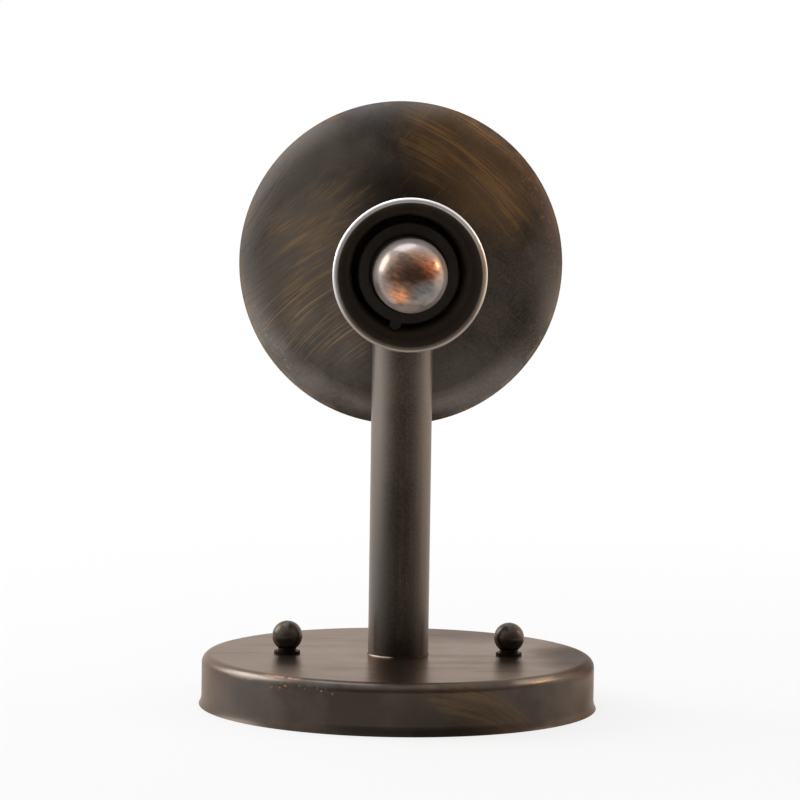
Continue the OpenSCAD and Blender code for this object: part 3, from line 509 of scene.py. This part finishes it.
# Arm: painted highlights along both sides, painted shade in front towards its foot, with faint golden strokes
# along it
armLook = dict(
    bronzeLook, dark="#453d37", mid="#595048", cloudMm=44, rough=(0.36, 0.44),
    rubsAndPaintedLight=(
        # painted highlights along both sides of the arm
        {"at": (-10, -2, 75), "turn": upright, "patch": (10.5, 16, 190), "ragged": 0.15, "strength": 0.6,
         "colour": "#958c83"},
        {"at": (10, -2, 75), "turn": upright, "patch": (10, 16, 190), "ragged": 0.15, "strength": 0.4,
         "colour": "#8d8176"},
        # painted shade in front towards the foot, where the arm meets the plate
        {"at": (-1, -9.5, plateZ), "turn": upright, "patch": (15, 13, 90), "ragged": 0.2, "strength": 0.6,
         "colour": "#2a2520"},
        {"at": (6, -8, 60), "turn": (0, 90, 0), "lengthMm": 34, "widthMm": 1.4, "keep": (0.5, 0.7),
         "patch": (70, 14, 14), "strength": 0.15, "colour": "#8a6c46", "haze": 0.1},
    ),
)
armBronze = rubbedBronze("hand_rubbed_bronze_arm", armLook)

# Cup: a rim rubbed pale all round, partly wear and partly painted highlight, with painted highlights warm at
# the right and white from the left to the top, and an inside with less metal, painted paler deeper in
rimRing = {"at": (0, mouthY + 0.4, axisZ), "turn": toCup, "radius": 22.95, "width": 1.7, "core": 0.2,
           "chipMm": 8, "keep": (0.05, 0.35), "strength": 0.9}
cupLook = dict(
    bronzeLook, shine=0.06,
    # inside: less metal, and painted light that grows paler deeper in the cup
    inside={"at": (0, 0, axisZ), "plane": (1, 0, 1), "colours": ("#554b42", "#d2bca4"), "metal": 0.25,
            "reach": (mouthY + 8, mouthY + 28)},
    edges=(
        dict(rimRing, colour="#a39688"),
        # painted highlights on the rim: warm at the right, white from the left to the top
        dict(rimRing, colour="#e6d0b8", facing=(0.95, -0.3, 0), arc=(0.6, 0.95)),
        dict(rimRing, colour="#f2f0f2", facing=(-0.4, -0.92, 0), arc=(-0.4, 0.4)),
    ),
)
cupBronze = rubbedBronze("hand_rubbed_bronze_cup", cupLook)

# Ball nuts and cap nut: left nearly as dark as the bath made them, and black round the ball nuts' necks,
# painted shade under the balls
neckShade = {"turn": upright, "patch": (8, 8, 2.1), "ragged": 0.1, "strength": 0.9, "colour": "#0f0d0c"}
nutLook = dict(bronzeLook, dark="#433c35", mid="#514940", cloudMm=14, grainMm=0.8, rough=(0.3, 0.36),
               rubsAndPaintedLight=[dict(neckShade, at=(x, 0, neckZ)) for x in (-studX, studX)])
nutBronze = rubbedBronze("near_black_bronze", nutLook)

# Washers and braze: not rubbed. The washers are near black, painted shade under the ball nuts; the braze is
# blackened, with a painted highlight on its left side at the arm's foot
washerLook = dict(bronzeLook, dark="#14110f", mid="#1e1a17", cloudMm=6, grainMm=0.8, rough=(0.5, 0.6))
washerBronze = rubbedBronze("near_black_washer_painted_shade", washerLook)
brazeToneAndHighlight = dict(
    bronzeLook, dark="#1f1b18", mid="#2b2621", cloudMm=6, grainMm=0.8, rough=(0.45, 0.55),
    # painted highlight: a pale line on the left side of the braze at the arm's foot
    edges=({"at": (0, 0, plateZ), "turn": upright, "radius": 9.7, "width": 0.9, "chipMm": 4,
            "keep": (0.2, 0.5), "strength": 0.8, "colour": "#cdbdae", "facing": (-0.7, -0.7, 0),
            "arc": (0.8, 0.95)},),
)
brazeBronze = rubbedBronze("blackened_braze", brazeToneAndHighlight)

dress(discBronze, "drip_disc")
dress(plateBronze, "wall_plate")
dress(armBronze, "arm_tube")
dress(cupBronze, "candle_cup")
dress(nutBronze, "left_ball_nut", "right_ball_nut", "disc_cap_nut")
dress(washerBronze, "left_nut_washer", "right_nut_washer")
print("bronze finishes mixed")


# A plain finish with two tones in soft clouds, a fine grain in the gloss and a light bump
def speckled(name, look):
    look = dict(plainLook, **look)
    material, tree, shader = newMaterial(name, Metallic=look["metal"], Specular_IOR_Level=look["gloss"])
    place = millimetres(tree)
    cloud = addNode(tree, "TexNoise", {"Vector": place, "Scale": 1 / look["cloudMm"], "Detail": 3.0})
    grain = addNode(tree, "TexNoise", {"Vector": place, "Scale": 1 / look["grainMm"], "Detail": 2.0})
    low, high = look["blot"]
    blot = addNode(tree, "MapRange", {"Value": cloud, "From Min": low, "From Max": high})
    first, last = look["tones"]
    colour = addNode(tree, "Mix", {0: blot, 6: srgb(first), 7: srgb(last)}, **rgba)
    tree.links.new(colour, shader.inputs["Base Color"])
    rough = addNode(tree, "MapRange", {"Value": grain, "From Min": most[0], "From Max": most[1],
                                       "To Min": look["rough"][0], "To Max": look["rough"][1]})
    tree.links.new(rough, shader.inputs["Roughness"])
    bump = addNode(tree, "Bump", {"Strength": look["bump"], "Distance": look["bumpMm"] * mm, "Height": grain})
    tree.links.new(bump, shader.inputs["Normal"])
    return material


plainLook = {"metal": 0.0, "gloss": 0.5, "blot": (0.35, 0.65), "bumpMm": 0.03}
# brass turned from bar: bright and warm, with faint tool marks
turnedBrass = speckled("turned_brass", {
    "metal": 1.0, "tones": ("#b08a4a", "#c9a564"), "rough": (0.24, 0.36), "cloudMm": 5, "grainMm": 0.35,
    "bump": 0.1})
# steel with bright zinc plate: grey, with a slight spangle
zincPlate = speckled("bright_zinc_plate", {
    "metal": 1.0, "tones": ("#9d9fa1", "#b9bbbb"), "rough": (0.28, 0.42), "cloudMm": 3, "grainMm": 0.5,
    "bump": 0.08})
# black phenolic, moulded with a filler: brownish black and dull
phenolic = speckled("black_phenolic", {
    "gloss": 0.42, "tones": ("#241a10", "#2e2317"), "rough": (0.5, 0.65), "cloudMm": 4, "grainMm": 0.4,
    "bump": 0.1})
# natural nylon, moulded: milky white and waxy
nylonWhite = speckled("natural_nylon", {
    "tones": ("#d9d4c4", "#e6e2d5"), "rough": (0.4, 0.5), "cloudMm": 5, "grainMm": 0.5, "bump": 0.06})
# PVC drawn over the leads: even colour, half matt
leadPvc = {"rough": (0.4, 0.5), "cloudMm": 4, "grainMm": 0.5, "bump": 0.06}
brownPvc = speckled("brown_pvc", dict(leadPvc, tones=("#5b331c", "#6c4026")))
bluePvc = speckled("blue_pvc", dict(leadPvc, tones=("#2a5590", "#3766a6")))
greenPvc = speckled("green_pvc", dict(leadPvc, tones=("#467f34", "#579740")))
# soft solder, set from a drop: grey metal with a wrinkled skin
softSolder = speckled("soft_solder", {
    "metal": 1.0, "tones": ("#8f9092", "#b3b4b4"), "rough": (0.3, 0.5), "cloudMm": 1.2, "grainMm": 0.4,
    "bump": 0.2})
# black glass of the cap's insulator, pressed hot: near black and shiny
blackVitrite = speckled("black_vitrite", {
    "tones": ("#121214", "#1d1d20"), "rough": (0.08, 0.16), "cloudMm": 2, "grainMm": 0.5, "bump": 0.05})
# drawn nickel wire: pale grey metal, lightly scored
filamentWire = speckled("drawn_nickel_wire", {
    "metal": 1.0, "tones": ("#8c8378", "#a79c8e"), "rough": (0.25, 0.4), "cloudMm": 1, "grainMm": 0.3,
    "bump": 0.05})

dress(turnedBrass, "arm_foot_bush", "arm_nipple", "arm_lock_nut", "cup_nipple", "cup_lock_nut",
      "holder_shell", "centre_contact", "holder_terminals", "terminal_inserts", "earth_screw", "bulb_cap")
dress(zincPlate, "mounting_bar", "mounting_studs", "stud_lock_nuts", "terminal_screws", "block_screw",
      "earth_tags", "arm_lock_washer", "cup_nut_washer", "holder_terminal_screws")
dress(phenolic, "holder_base", "holder_body", "holder_ring")
dress(nylonWhite, "terminal_block")
dress(brownPvc, "live_lead")
dress(bluePvc, "neutral_lead")
dress(greenPvc, "earth_lead")
dress(softSolder, "bulb_tip")
dress(blackVitrite, "bulb_insulator")
dress(filamentWire, "bulb_filament")


# Crown-mirrored frosted glass: satin-etched sides that look pearl grey, and a thin copper-tinted mirror on
# the crown that fades out towards the sides, with a clear gloss over both; patches of painted reflection lie
# on the mirror
def crownGlass(name, look):
    material, tree, shader = newMaterial(name, Coat_Weight=look["coat"][0], Coat_Roughness=look["coat"][1])
    place = millimetres(tree)
    # distance from the bulb's axis as a share of its radius
    flat = addNode(tree, "Mapping", {"Vector": place, "Location": look["axis"], "Scale": look["plan"]},
                   vector_type="TEXTURE")
    share = addNode(tree, "VectorMath", {0: flat}, "Value", operation="LENGTH")
    cloud = addNode(tree, "TexNoise", {"Vector": place, "Scale": 1 / look["cloudMm"], "Detail": 3.0})
    ragged = addNode(tree, "Math", {0: cloud, 1: look["ragged"], 2: share}, operation="MULTIPLY_ADD")
    full, end = look["fade"]
    mirror = addNode(tree, "MapRange", {"Value": ragged, "From Min": end, "From Max": full}, **smooth)
    low, high = look["blot"]
    blot = addNode(tree, "MapRange", {"Value": cloud, "From Min": low, "From Max": high})
    first, last = look["copper"]
    copper = addNode(tree, "Mix", {0: blot, 6: srgb(first), 7: srgb(last)}, **rgba)
    # painted reflections: warm, grey and dark patches on the mirror, each holding the mirror on where it lies
    for paintedReflection in look["paintedReflections"]:
        full, end = paintedReflection["reach"]
        near = addNode(tree, "VectorMath", {0: place, 1: paintedReflection["at"]}, "Value", operation="DISTANCE")
        near = addNode(tree, "Math", {0: cloud, 1: paintedReflection["ragged"], 2: near}, operation="MULTIPLY_ADD")
        near = addNode(tree, "MapRange", {"Value": near, "From Min": end, "From Max": full}, **smooth)
        copper = addNode(tree, "Mix", {0: near, 6: copper, 7: srgb(paintedReflection["colour"])}, **rgba)
        held = addNode(tree, "Math", {0: near, 1: paintedReflection["held"]}, operation="MULTIPLY")
        mirror = addNode(tree, "Math", {0: mirror, 1: held}, operation="MAXIMUM")
    # fine mottling in wavy lines, painted into the mirror's colour as the broken reflections of a little
    # crumpled mirror
    lines = addNode(tree, "Mapping", {"Vector": place, "Rotation": look["mottleTurn"],
                                      "Scale": look["mottleMm"]}, vector_type="TEXTURE")
    mottle = addNode(tree, "TexNoise", {"Vector": lines, **look["mottleNoise"]})
    mottle = addNode(tree, "MapRange", {"Value": mottle, "From Min": most[0], "From Max": most[1],
                                        "To Min": look["mottle"][0], "To Max": look["mottle"][1]})
    copper = addNode(tree, "VectorMath", {0: copper, "Scale": mottle}, operation="SCALE")
    colour = addNode(tree, "Mix", {0: mirror, 6: srgb(look["pearl"]), 7: copper}, **rgba)
    tree.links.new(colour, shader.inputs["Base Color"])
    # metallic and roughness from the satin sides to the mirror
    for socket, ends in (("Metallic", look["metal"]), ("Roughness", look["rough"])):
        value = addNode(tree, "MapRange", {"Value": mirror, "To Min": ends[0], "To Max": ends[1]})
        tree.links.new(value, shader.inputs[socket])
    return material


# Clear lead glass of the stem: drawn in a flame, so it has soft ripples in its gloss
def clearGlass(name, look):
    material, tree, shader = newMaterial(name, Transmission_Weight=1.0, IOR=look["ior"])
    place = millimetres(tree)
    cloud = addNode(tree, "TexNoise", {"Vector": place, "Scale": 1 / look["cloudMm"], "Detail": 2.0})
    low, high = look["rough"]
    rough = addNode(tree, "MapRange", {"Value": cloud, "To Min": low, "To Max": high})
    tree.links.new(rough, shader.inputs["Roughness"])
    return material


crownY = tipY - 46      # a level near the crown of the glass
crownLook = {
    "axis": (0, 0, axisZ), "plan": (11.2, 1e6, 11.2), "cloudMm": 5.5, "ragged": 0.5, "fade": (0.72, 1.28),
    "blot": (0.42, 0.6), "copper": ("#644a3b", "#966749"), "pearl": "#b4a89f", "metal": (0.25, 1.0),
    "rough": (0.34, 0.26), "coat": (0.6, 0.08), "mottleMm": (3.0, 3.0, 1.0), "mottleTurn": (0, 0.35, 0),
    "mottleNoise": {"Scale": 1.0, "Detail": 4.0, "Roughness": 0.65, "Distortion": 0.6}, "mottle": (0.35, 1.5),
    # painted reflections on the crown: warm low left, orange up right, grey low right and dark in the middle
    "paintedReflections": (
        {"at": (-3.4, crownY, axisZ - 6.6), "ragged": 6, "reach": (3.5, 8.5), "colour": "#d08a5e",
         "held": 1.0},
        {"at": (6.0, crownY, axisZ + 3.0), "ragged": 6, "reach": (4.0, 11.0), "colour": "#b87046",
         "held": 0.9},
        {"at": (4.6, crownY, axisZ - 5.4), "ragged": 5, "reach": (5.0, 10.0), "colour": "#5c5a58",
         "held": 0.8},
        {"at": (-1.0, crownY - 2, axisZ + 1.5), "ragged": 8, "reach": (4.5, 11.0), "colour": "#64493a",
         "held": 0.9},
    ),
}
stemLook = {"ior": 1.52, "cloudMm": 3, "rough": (0.01, 0.05)}
dress(crownGlass("crown_mirrored_glass", crownLook), "bulb_glass")
dress(clearGlass("clear_lead_glass", stemLook), "bulb_stem")
print("other finishes mixed")


# New pieces are grids of points: rows along a profile, columns along or round the piece
def layMesh(name, points, material, body, closedRows=False, sharp=40):
    # face (i, j) joins rows i, i+1 and columns j, j+1, which wrap round; points that meet are merged
    rows, columns = points.shape[:2]
    i = np.arange(rows if closedRows else rows - 1)[:, None]
    j = np.arange(columns)[None, :]
    below, above, after = i * columns, (i + 1) % rows * columns, (j + 1) % columns
    faces = np.stack([below + j, below + after, above + after, above + j], axis=-1).reshape(-1, 4)
    mesh = bpy.data.meshes.new(name)
    mesh.from_pydata((points.reshape(-1, 3) * mm).tolist(), [], faces.tolist())
    shape = bmesh.new()
    shape.from_mesh(mesh)
    bmesh.ops.remove_doubles(shape, verts=shape.verts, dist=1e-7)
    bmesh.ops.recalc_face_normals(shape, faces=shape.faces)
    shape.to_mesh(mesh)
    shape.free()
    mesh.polygons.foreach_set("use_smooth", np.ones(len(mesh.polygons), dtype=bool))
    mesh.set_sharp_from_angle(angle=radians(sharp))
    mesh.materials.append(material)
    piece = bpy.data.objects.new(name, mesh)
    bpy.context.scene.collection.objects.link(piece)
    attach(piece, body)
    return piece


def aroundAxis(radius, along, turn, origin, axis):
    # a point at a radius and turn about an axis through origin: x across, then z or -y along the axis
    side, up = radius * np.cos(turn), radius * np.sin(turn)
    along = np.broadcast_to(along, side.shape)
    if axis == "z":
        points = np.stack([side, up, along], axis=-1)
    else:
        points = np.stack([side, -along, up], axis=-1)
    return points + np.array(origin)


# Threaded rods: radius = crest - depth * ramp(height / pitch - turn / 2 pi), a triangle wave with flat tops,
# and a chamfer at both ends; a hollow one comes back along its bore
threadLook = {"flat": 0.12, "flank": 0.7, "rowsPerTurn": 8}


def threadedRod(look):
    count = int(look["length"] / look["pitch"] * look["rowsPerTurn"]) + 1
    along = np.linspace(0, look["length"], count)[:, None]
    turn = np.linspace(0, 2 * pi, look["columns"], endpoint=False)[None, :]
    wave = np.abs(2 * ((along / look["pitch"] - turn / (2 * pi)) % 1.0) - 1)
    ramp = np.clip((wave - look["flat"]) / look["flank"], 0, 1)
    end = np.minimum(along, look["length"] - along)
    radius = np.minimum(look["crest"] - look["depth"] * ramp, look["crest"] - look["depth"] + end)
    bore = np.full_like(radius[:1], look["bore"])
    radius = np.concatenate([bore, radius, bore])
    along = np.concatenate([along[:1], along, along[-1:]])
    points = aroundAxis(radius, along, np.broadcast_to(turn, radius.shape), look["origin"], look["axis"])
    hollow = look["bore"] > 0
    return layMesh(look["name"], points, look["material"], "fixture", closedRows=hollow)


studLow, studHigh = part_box("mounting_studs")
studLook = dict(threadLook, axis="z", length=(studHigh.z - studLow.z) / mm,
                crest=(studHigh.y - studLow.y) / mm / 2, pitch=0.7, depth=0.4, columns=28, bore=0.0,
                material=zincPlate, slot="zinc_steel")
for side, x in (("left", -studX), ("right", studX)):
    stud = threadedRod(dict(studLook, name=side + "_threaded_stud", origin=(x, 0, studLow.z / mm)))
    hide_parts("mounting_studs")
armNippleLow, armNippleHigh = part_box("arm_nipple")
cupNippleLow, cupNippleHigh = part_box("cup_nipple")
nippleLook = dict(threadLook, crest=(armNippleHigh.x - armNippleLow.x) / mm / 2, pitch=1.0, depth=0.5,
                  columns=48, bore=3.7, material=turnedBrass, slot="raw_brass")
armNipple = threadedRod(dict(nippleLook, name="threaded_arm_nipple", axis="z",
                             origin=(0, 0, armNippleLow.z / mm),
                             length=(armNippleHigh.z - armNippleLow.z) / mm))
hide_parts("arm_nipple")
cupNipple = threadedRod(dict(nippleLook, name="threaded_cup_nipple", axis="y",
                             origin=(0, cupNippleHigh.y / mm, axisZ),
                             length=(cupNippleHigh.y - cupNippleLow.y) / mm))
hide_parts("cup_nipple")
print("threads cut on studs and nipples")

# Bulb cap: a thin brass shell whose rolled thread is a cosine, radius = crest - wave * (1 - cos(phase)) / 2,
# eased in and out at its ends, with the cone of its foot and a plain collar
capLook = {"crest": 6.9, "wave": 0.45, "pitch": 2.822, "wall": 0.1, "thread": (5.4, 16.6), "ease": 1.4,
           "footRadius": 4.6, "coneTop": 5.0, "rows": 120, "columns": 72}


def rollCap(look):
    low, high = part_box("bulb_cap")
    foot, top = tipY - high.y / mm, tipY - low.y / mm
    along = np.concatenate([[foot], np.linspace(look["coneTop"], top, look["rows"])])[:, None]
    turn = np.linspace(0, 2 * pi, look["columns"], endpoint=False)[None, :]
    first, last = look["thread"]
    share = np.clip(np.minimum(along - first, last - along) / look["ease"], 0, 1)
    phase = 2 * pi * along / look["pitch"] - turn
    outer = look["crest"] - look["wave"] * share * (1 - np.cos(phase)) / 2
    outer[0] = look["footRadius"] + look["wall"]
    inner = (outer - look["wall"])[::-1]
    radius = np.concatenate([outer, inner])
    along = np.concatenate([along, along[::-1]])
    points = aroundAxis(radius, along, np.broadcast_to(turn, radius.shape), (0, tipY, axisZ), "y")
    cap = layMesh("rolled_bulb_cap", points, turnedBrass, "bulb", closedRows=True)
    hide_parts("bulb_cap")


rollCap(capLook)
print("bulb cap rolled")

# Holder ring: a turned profile of radius and distance from the cup's back, with rounded lips; the ear adds
# the polar radius of its own circle, c cos d + sqrt(e e - (c sin d)^2) at an angle d from its middle
ringLook = {"outer": 15.4, "mouth": 11.5, "thread": 13.46, "lip": 1.0, "round": 0.6, "mouthRound": 0.8,
            "chamfer": 0.4, "earAngle": 256, "earCentre": 16.1, "earRadius": 1.8, "earDepth": 3.0,
            "earSpread": 8, "steps": 7, "earColumns": 65, "restColumns": 200, "sharp": 32}


def turnRing(look):
    low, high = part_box("holder_ring")
    back, front = faceY - high.y / mm, faceY - low.y / mm
    outer, mouth, edge, inEdge = look["outer"], look["mouth"], look["round"], look["mouthRound"]
    q = np.linspace(0, pi / 2, look["steps"])
    side, up = np.cos(q), np.sin(q)
    lipOut = np.stack([outer - edge + edge * side, front - edge + edge * up, 1 + 0 * q], axis=-1)
    lipIn = np.stack([mouth + inEdge - inEdge * up, front - inEdge + inEdge * side, 0 * q], axis=-1)
    # each row of the profile: radius, distance and the ear's share
    chamfer, earBack, seat = look["chamfer"], front - look["earDepth"], front - look["lip"]
    profile = np.concatenate([
        [[outer - chamfer, back, 0], [outer, back + chamfer, 0], [outer, earBack, 0], [outer, earBack, 1]],
        lipOut, lipIn,
        [[mouth, seat, 0], [look["thread"], seat, 0], [look["thread"], back, 0]],
    ])
    spread = look["earSpread"]
    degrees = np.concatenate([np.linspace(-spread, spread, look["earColumns"]),
                              np.linspace(spread, 360 - spread, look["restColumns"])[1:-1]])
    away = np.radians(degrees)[None, :]
    across = look["earCentre"] * np.sin(away)
    reach = look["earCentre"] * np.cos(away) + np.sqrt(np.clip(look["earRadius"] ** 2 - across ** 2, 0, None))
    near = (np.abs(across) < look["earRadius"]) & (np.cos(away) > 0)
    bulge = np.where(near, np.clip(reach - outer, 0, None), 0)
    radius = profile[:, :1] + profile[:, 2:] * bulge
    turn = np.broadcast_to(away + radians(look["earAngle"]), radius.shape)
    points = aroundAxis(radius, profile[:, 1:2], turn, (0, faceY, axisZ), "y")
    ring = layMesh("turned_holder_ring", points, phenolic, "fixture", closedRows=True,
                   sharp=look["sharp"])
    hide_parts("holder_ring")


turnRing(ringLook)
print("holder ring turned")


# Leads: a circle carried along a path. The path between points b and c with neighbours a and d is
# (2b + (c - a)t + (2a - 5b + 4c - d)tt + (3b - a - 3c + d)ttt) / 2
def smoothPath(route, steps):
    b, c = route[:-1], route[1:]
    a, d = np.concatenate([route[:1], b[:-1]]), np.concatenate([c[1:], route[-1:]])
    a, b, c, d = (part[:, None, :] for part in (a, b, c, d))
    t = np.linspace(0, 1, steps, endpoint=False)[None, :, None]
    bowed = (2 * a - 5 * b + 4 * c - d) * t ** 2
    turned = (3 * b - a - 3 * c + d) * t ** 3
    curve = (2 * b + (c - a) * t + bowed + turned) / 2
    return np.concatenate([curve.reshape(-1, 3), route[-1:]])


def hairpin(look):
    # a straight run, a half turn about the bend's centre and a straight run back below it
    q = np.linspace(pi / 2, 3 * pi / 2, look["steps"])
    halfTurn = np.array(look["bend"]) + look["bendRadius"] * np.stack([np.cos(q), 0 * q, np.sin(q)], axis=-1)
    topRun = np.linspace((look["topEnd"], 0, halfTurn[0, 2]), halfTurn[0], look["topSteps"])[:-1]
    lowRun = np.linspace(halfTurn[-1], (look["lowEnd"], 0, halfTurn[-1, 2]), look["lowSteps"])[1:]
    return np.concatenate([topRun, halfTurn, lowRun])


def pullLead(name, path, look, material):
    # section = path + r (cos k u + sin k v), u and v square to the path; both end rows close to a point
    ahead = np.gradient(path, axis=0)
    ahead /= np.linalg.norm(ahead, axis=1, keepdims=True)
    u = np.cross(np.array(look["side"], dtype=float), ahead)
    u /= np.linalg.norm(u, axis=1, keepdims=True)
    v = np.cross(ahead, u)
    k = np.linspace(0, 2 * pi, look["columns"], endpoint=False)[None, :, None]
    rows = path[:, None, :] + look["radius"] * (np.cos(k) * u[:, None, :] + np.sin(k) * v[:, None, :])
    first, last = (np.broadcast_to(path[i], rows[:1].shape) for i in (0, -1))
    lead = layMesh(name + "_insulation", np.concatenate([first, rows, last]), material, "fixture",
                   sharp=look["sharp"])
    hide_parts(name)


leadLook = {"radius": 0.95, "columns": 20, "side": (1, 0, 0), "sharp": 60, "steps": 12, "route": (
    (4, 16, 6), (4, 12, 6), (3.2, 7, 5.4), (2.2, 3, 5), (1.7, 0.6, 7.6), (1.7, 0, 11.2), (1.7, 0, 20),
    (1.7, 0, 36), (1.7, 0, 73.95), (1.7, 0, 97.9), (1.7, 0, 111.9), (2.2, 0, 118.9), (5.4, 0, 123.5),
    (9, -8.5, 126.4), (10, -8.5, 130), (10, -8.5, 133))}
earthLook = {"radius": 0.95, "columns": 20, "side": (0, 1, 0), "sharp": 60, "bend": (-23.4, 0, 8.4),
             "bendRadius": 4.8, "topEnd": -9.4, "lowEnd": -19.4, "steps": 33, "topSteps": 9, "lowSteps": 5}
leadRoute = np.array(leadLook["route"])
pullLead("live_lead", smoothPath(leadRoute, leadLook["steps"]), leadLook, brownPvc)
pullLead("neutral_lead", smoothPath(leadRoute * (-1, 1, 1), leadLook["steps"]), leadLook, bluePvc)
pullLead("earth_lead", hairpin(earthLook), earthLook, greenPvc)
print("leads pulled through the arm")

# Brazed joints: at each turn round the arm a curve (1-t)^2 A + 2t(1-t) C + tt B runs from A on the arm to B
# on the neighbour, pulled towards the corner C; the leg wavers a little, as a hand-brazed one does. upwards
# is 1 where the neighbour is above the arm's end and -1 where it is below
brazeLook = {
    "ripples": ((0.6, 7, 0), (0.4, 13, 1)), "overlap": 0.01, "cupRadius": 18.1,
    "cup": {"leg": 0.75, "waver": 0.1, "sunk": 0.3, "columns": 160, "steps": 8, "upwards": 1},
    "foot": {"leg": 0.45, "waver": 0.04, "sunk": 0.2, "columns": 120, "steps": 7, "upwards": -1},
}


def underCup(x):
    # the cup's round underside, axis - sqrt(r r - x x)
    return axisZ - np.sqrt(brazeLook["cupRadius"] ** 2 - x ** 2)


def onPlate(x):
    # the plate's flat top
    return plateZ + 0 * x


def brazeJoint(name, look, surface):
    armRadius = (armHigh.x - armLow.x) / mm / 2
    overlap = brazeLook["overlap"]
    turn = np.linspace(0, 2 * pi, look["columns"], endpoint=False)
    ripple = sum(share * np.sin(waves * turn + late) for share, waves, late in brazeLook["ripples"])
    leg = look["leg"] + look["waver"] * ripple

    def ringAt(radius, drop):
        # a ring of points at that radius, dropped from the neighbour's surface towards the arm
        x, y = radius * np.cos(turn), radius * np.sin(turn)
        return np.stack([x, y, surface(x) - look["upwards"] * drop], axis=-1)

    onArm = ringAt(armRadius - overlap, leg)
    corner = ringAt(armRadius, 0)
    onNext = ringAt(armRadius + leg, -overlap)
    hidden = ringAt(armRadius - look["sunk"], -look["sunk"])
    t = np.linspace(0, 1, look["steps"])[:, None, None]
    curve = (1 - t) ** 2 * onArm + 2 * t * (1 - t) * corner + t ** 2 * onNext
    points = np.concatenate([curve, hidden[None]])
    layMesh(name, points, brazeBronze, "fixture", closedRows=True)


brazeJoint("braze_under_cup", brazeLook["cup"], underCup)
brazeJoint("braze_at_arm_foot", brazeLook["foot"], onPlate)
print("joints brazed")
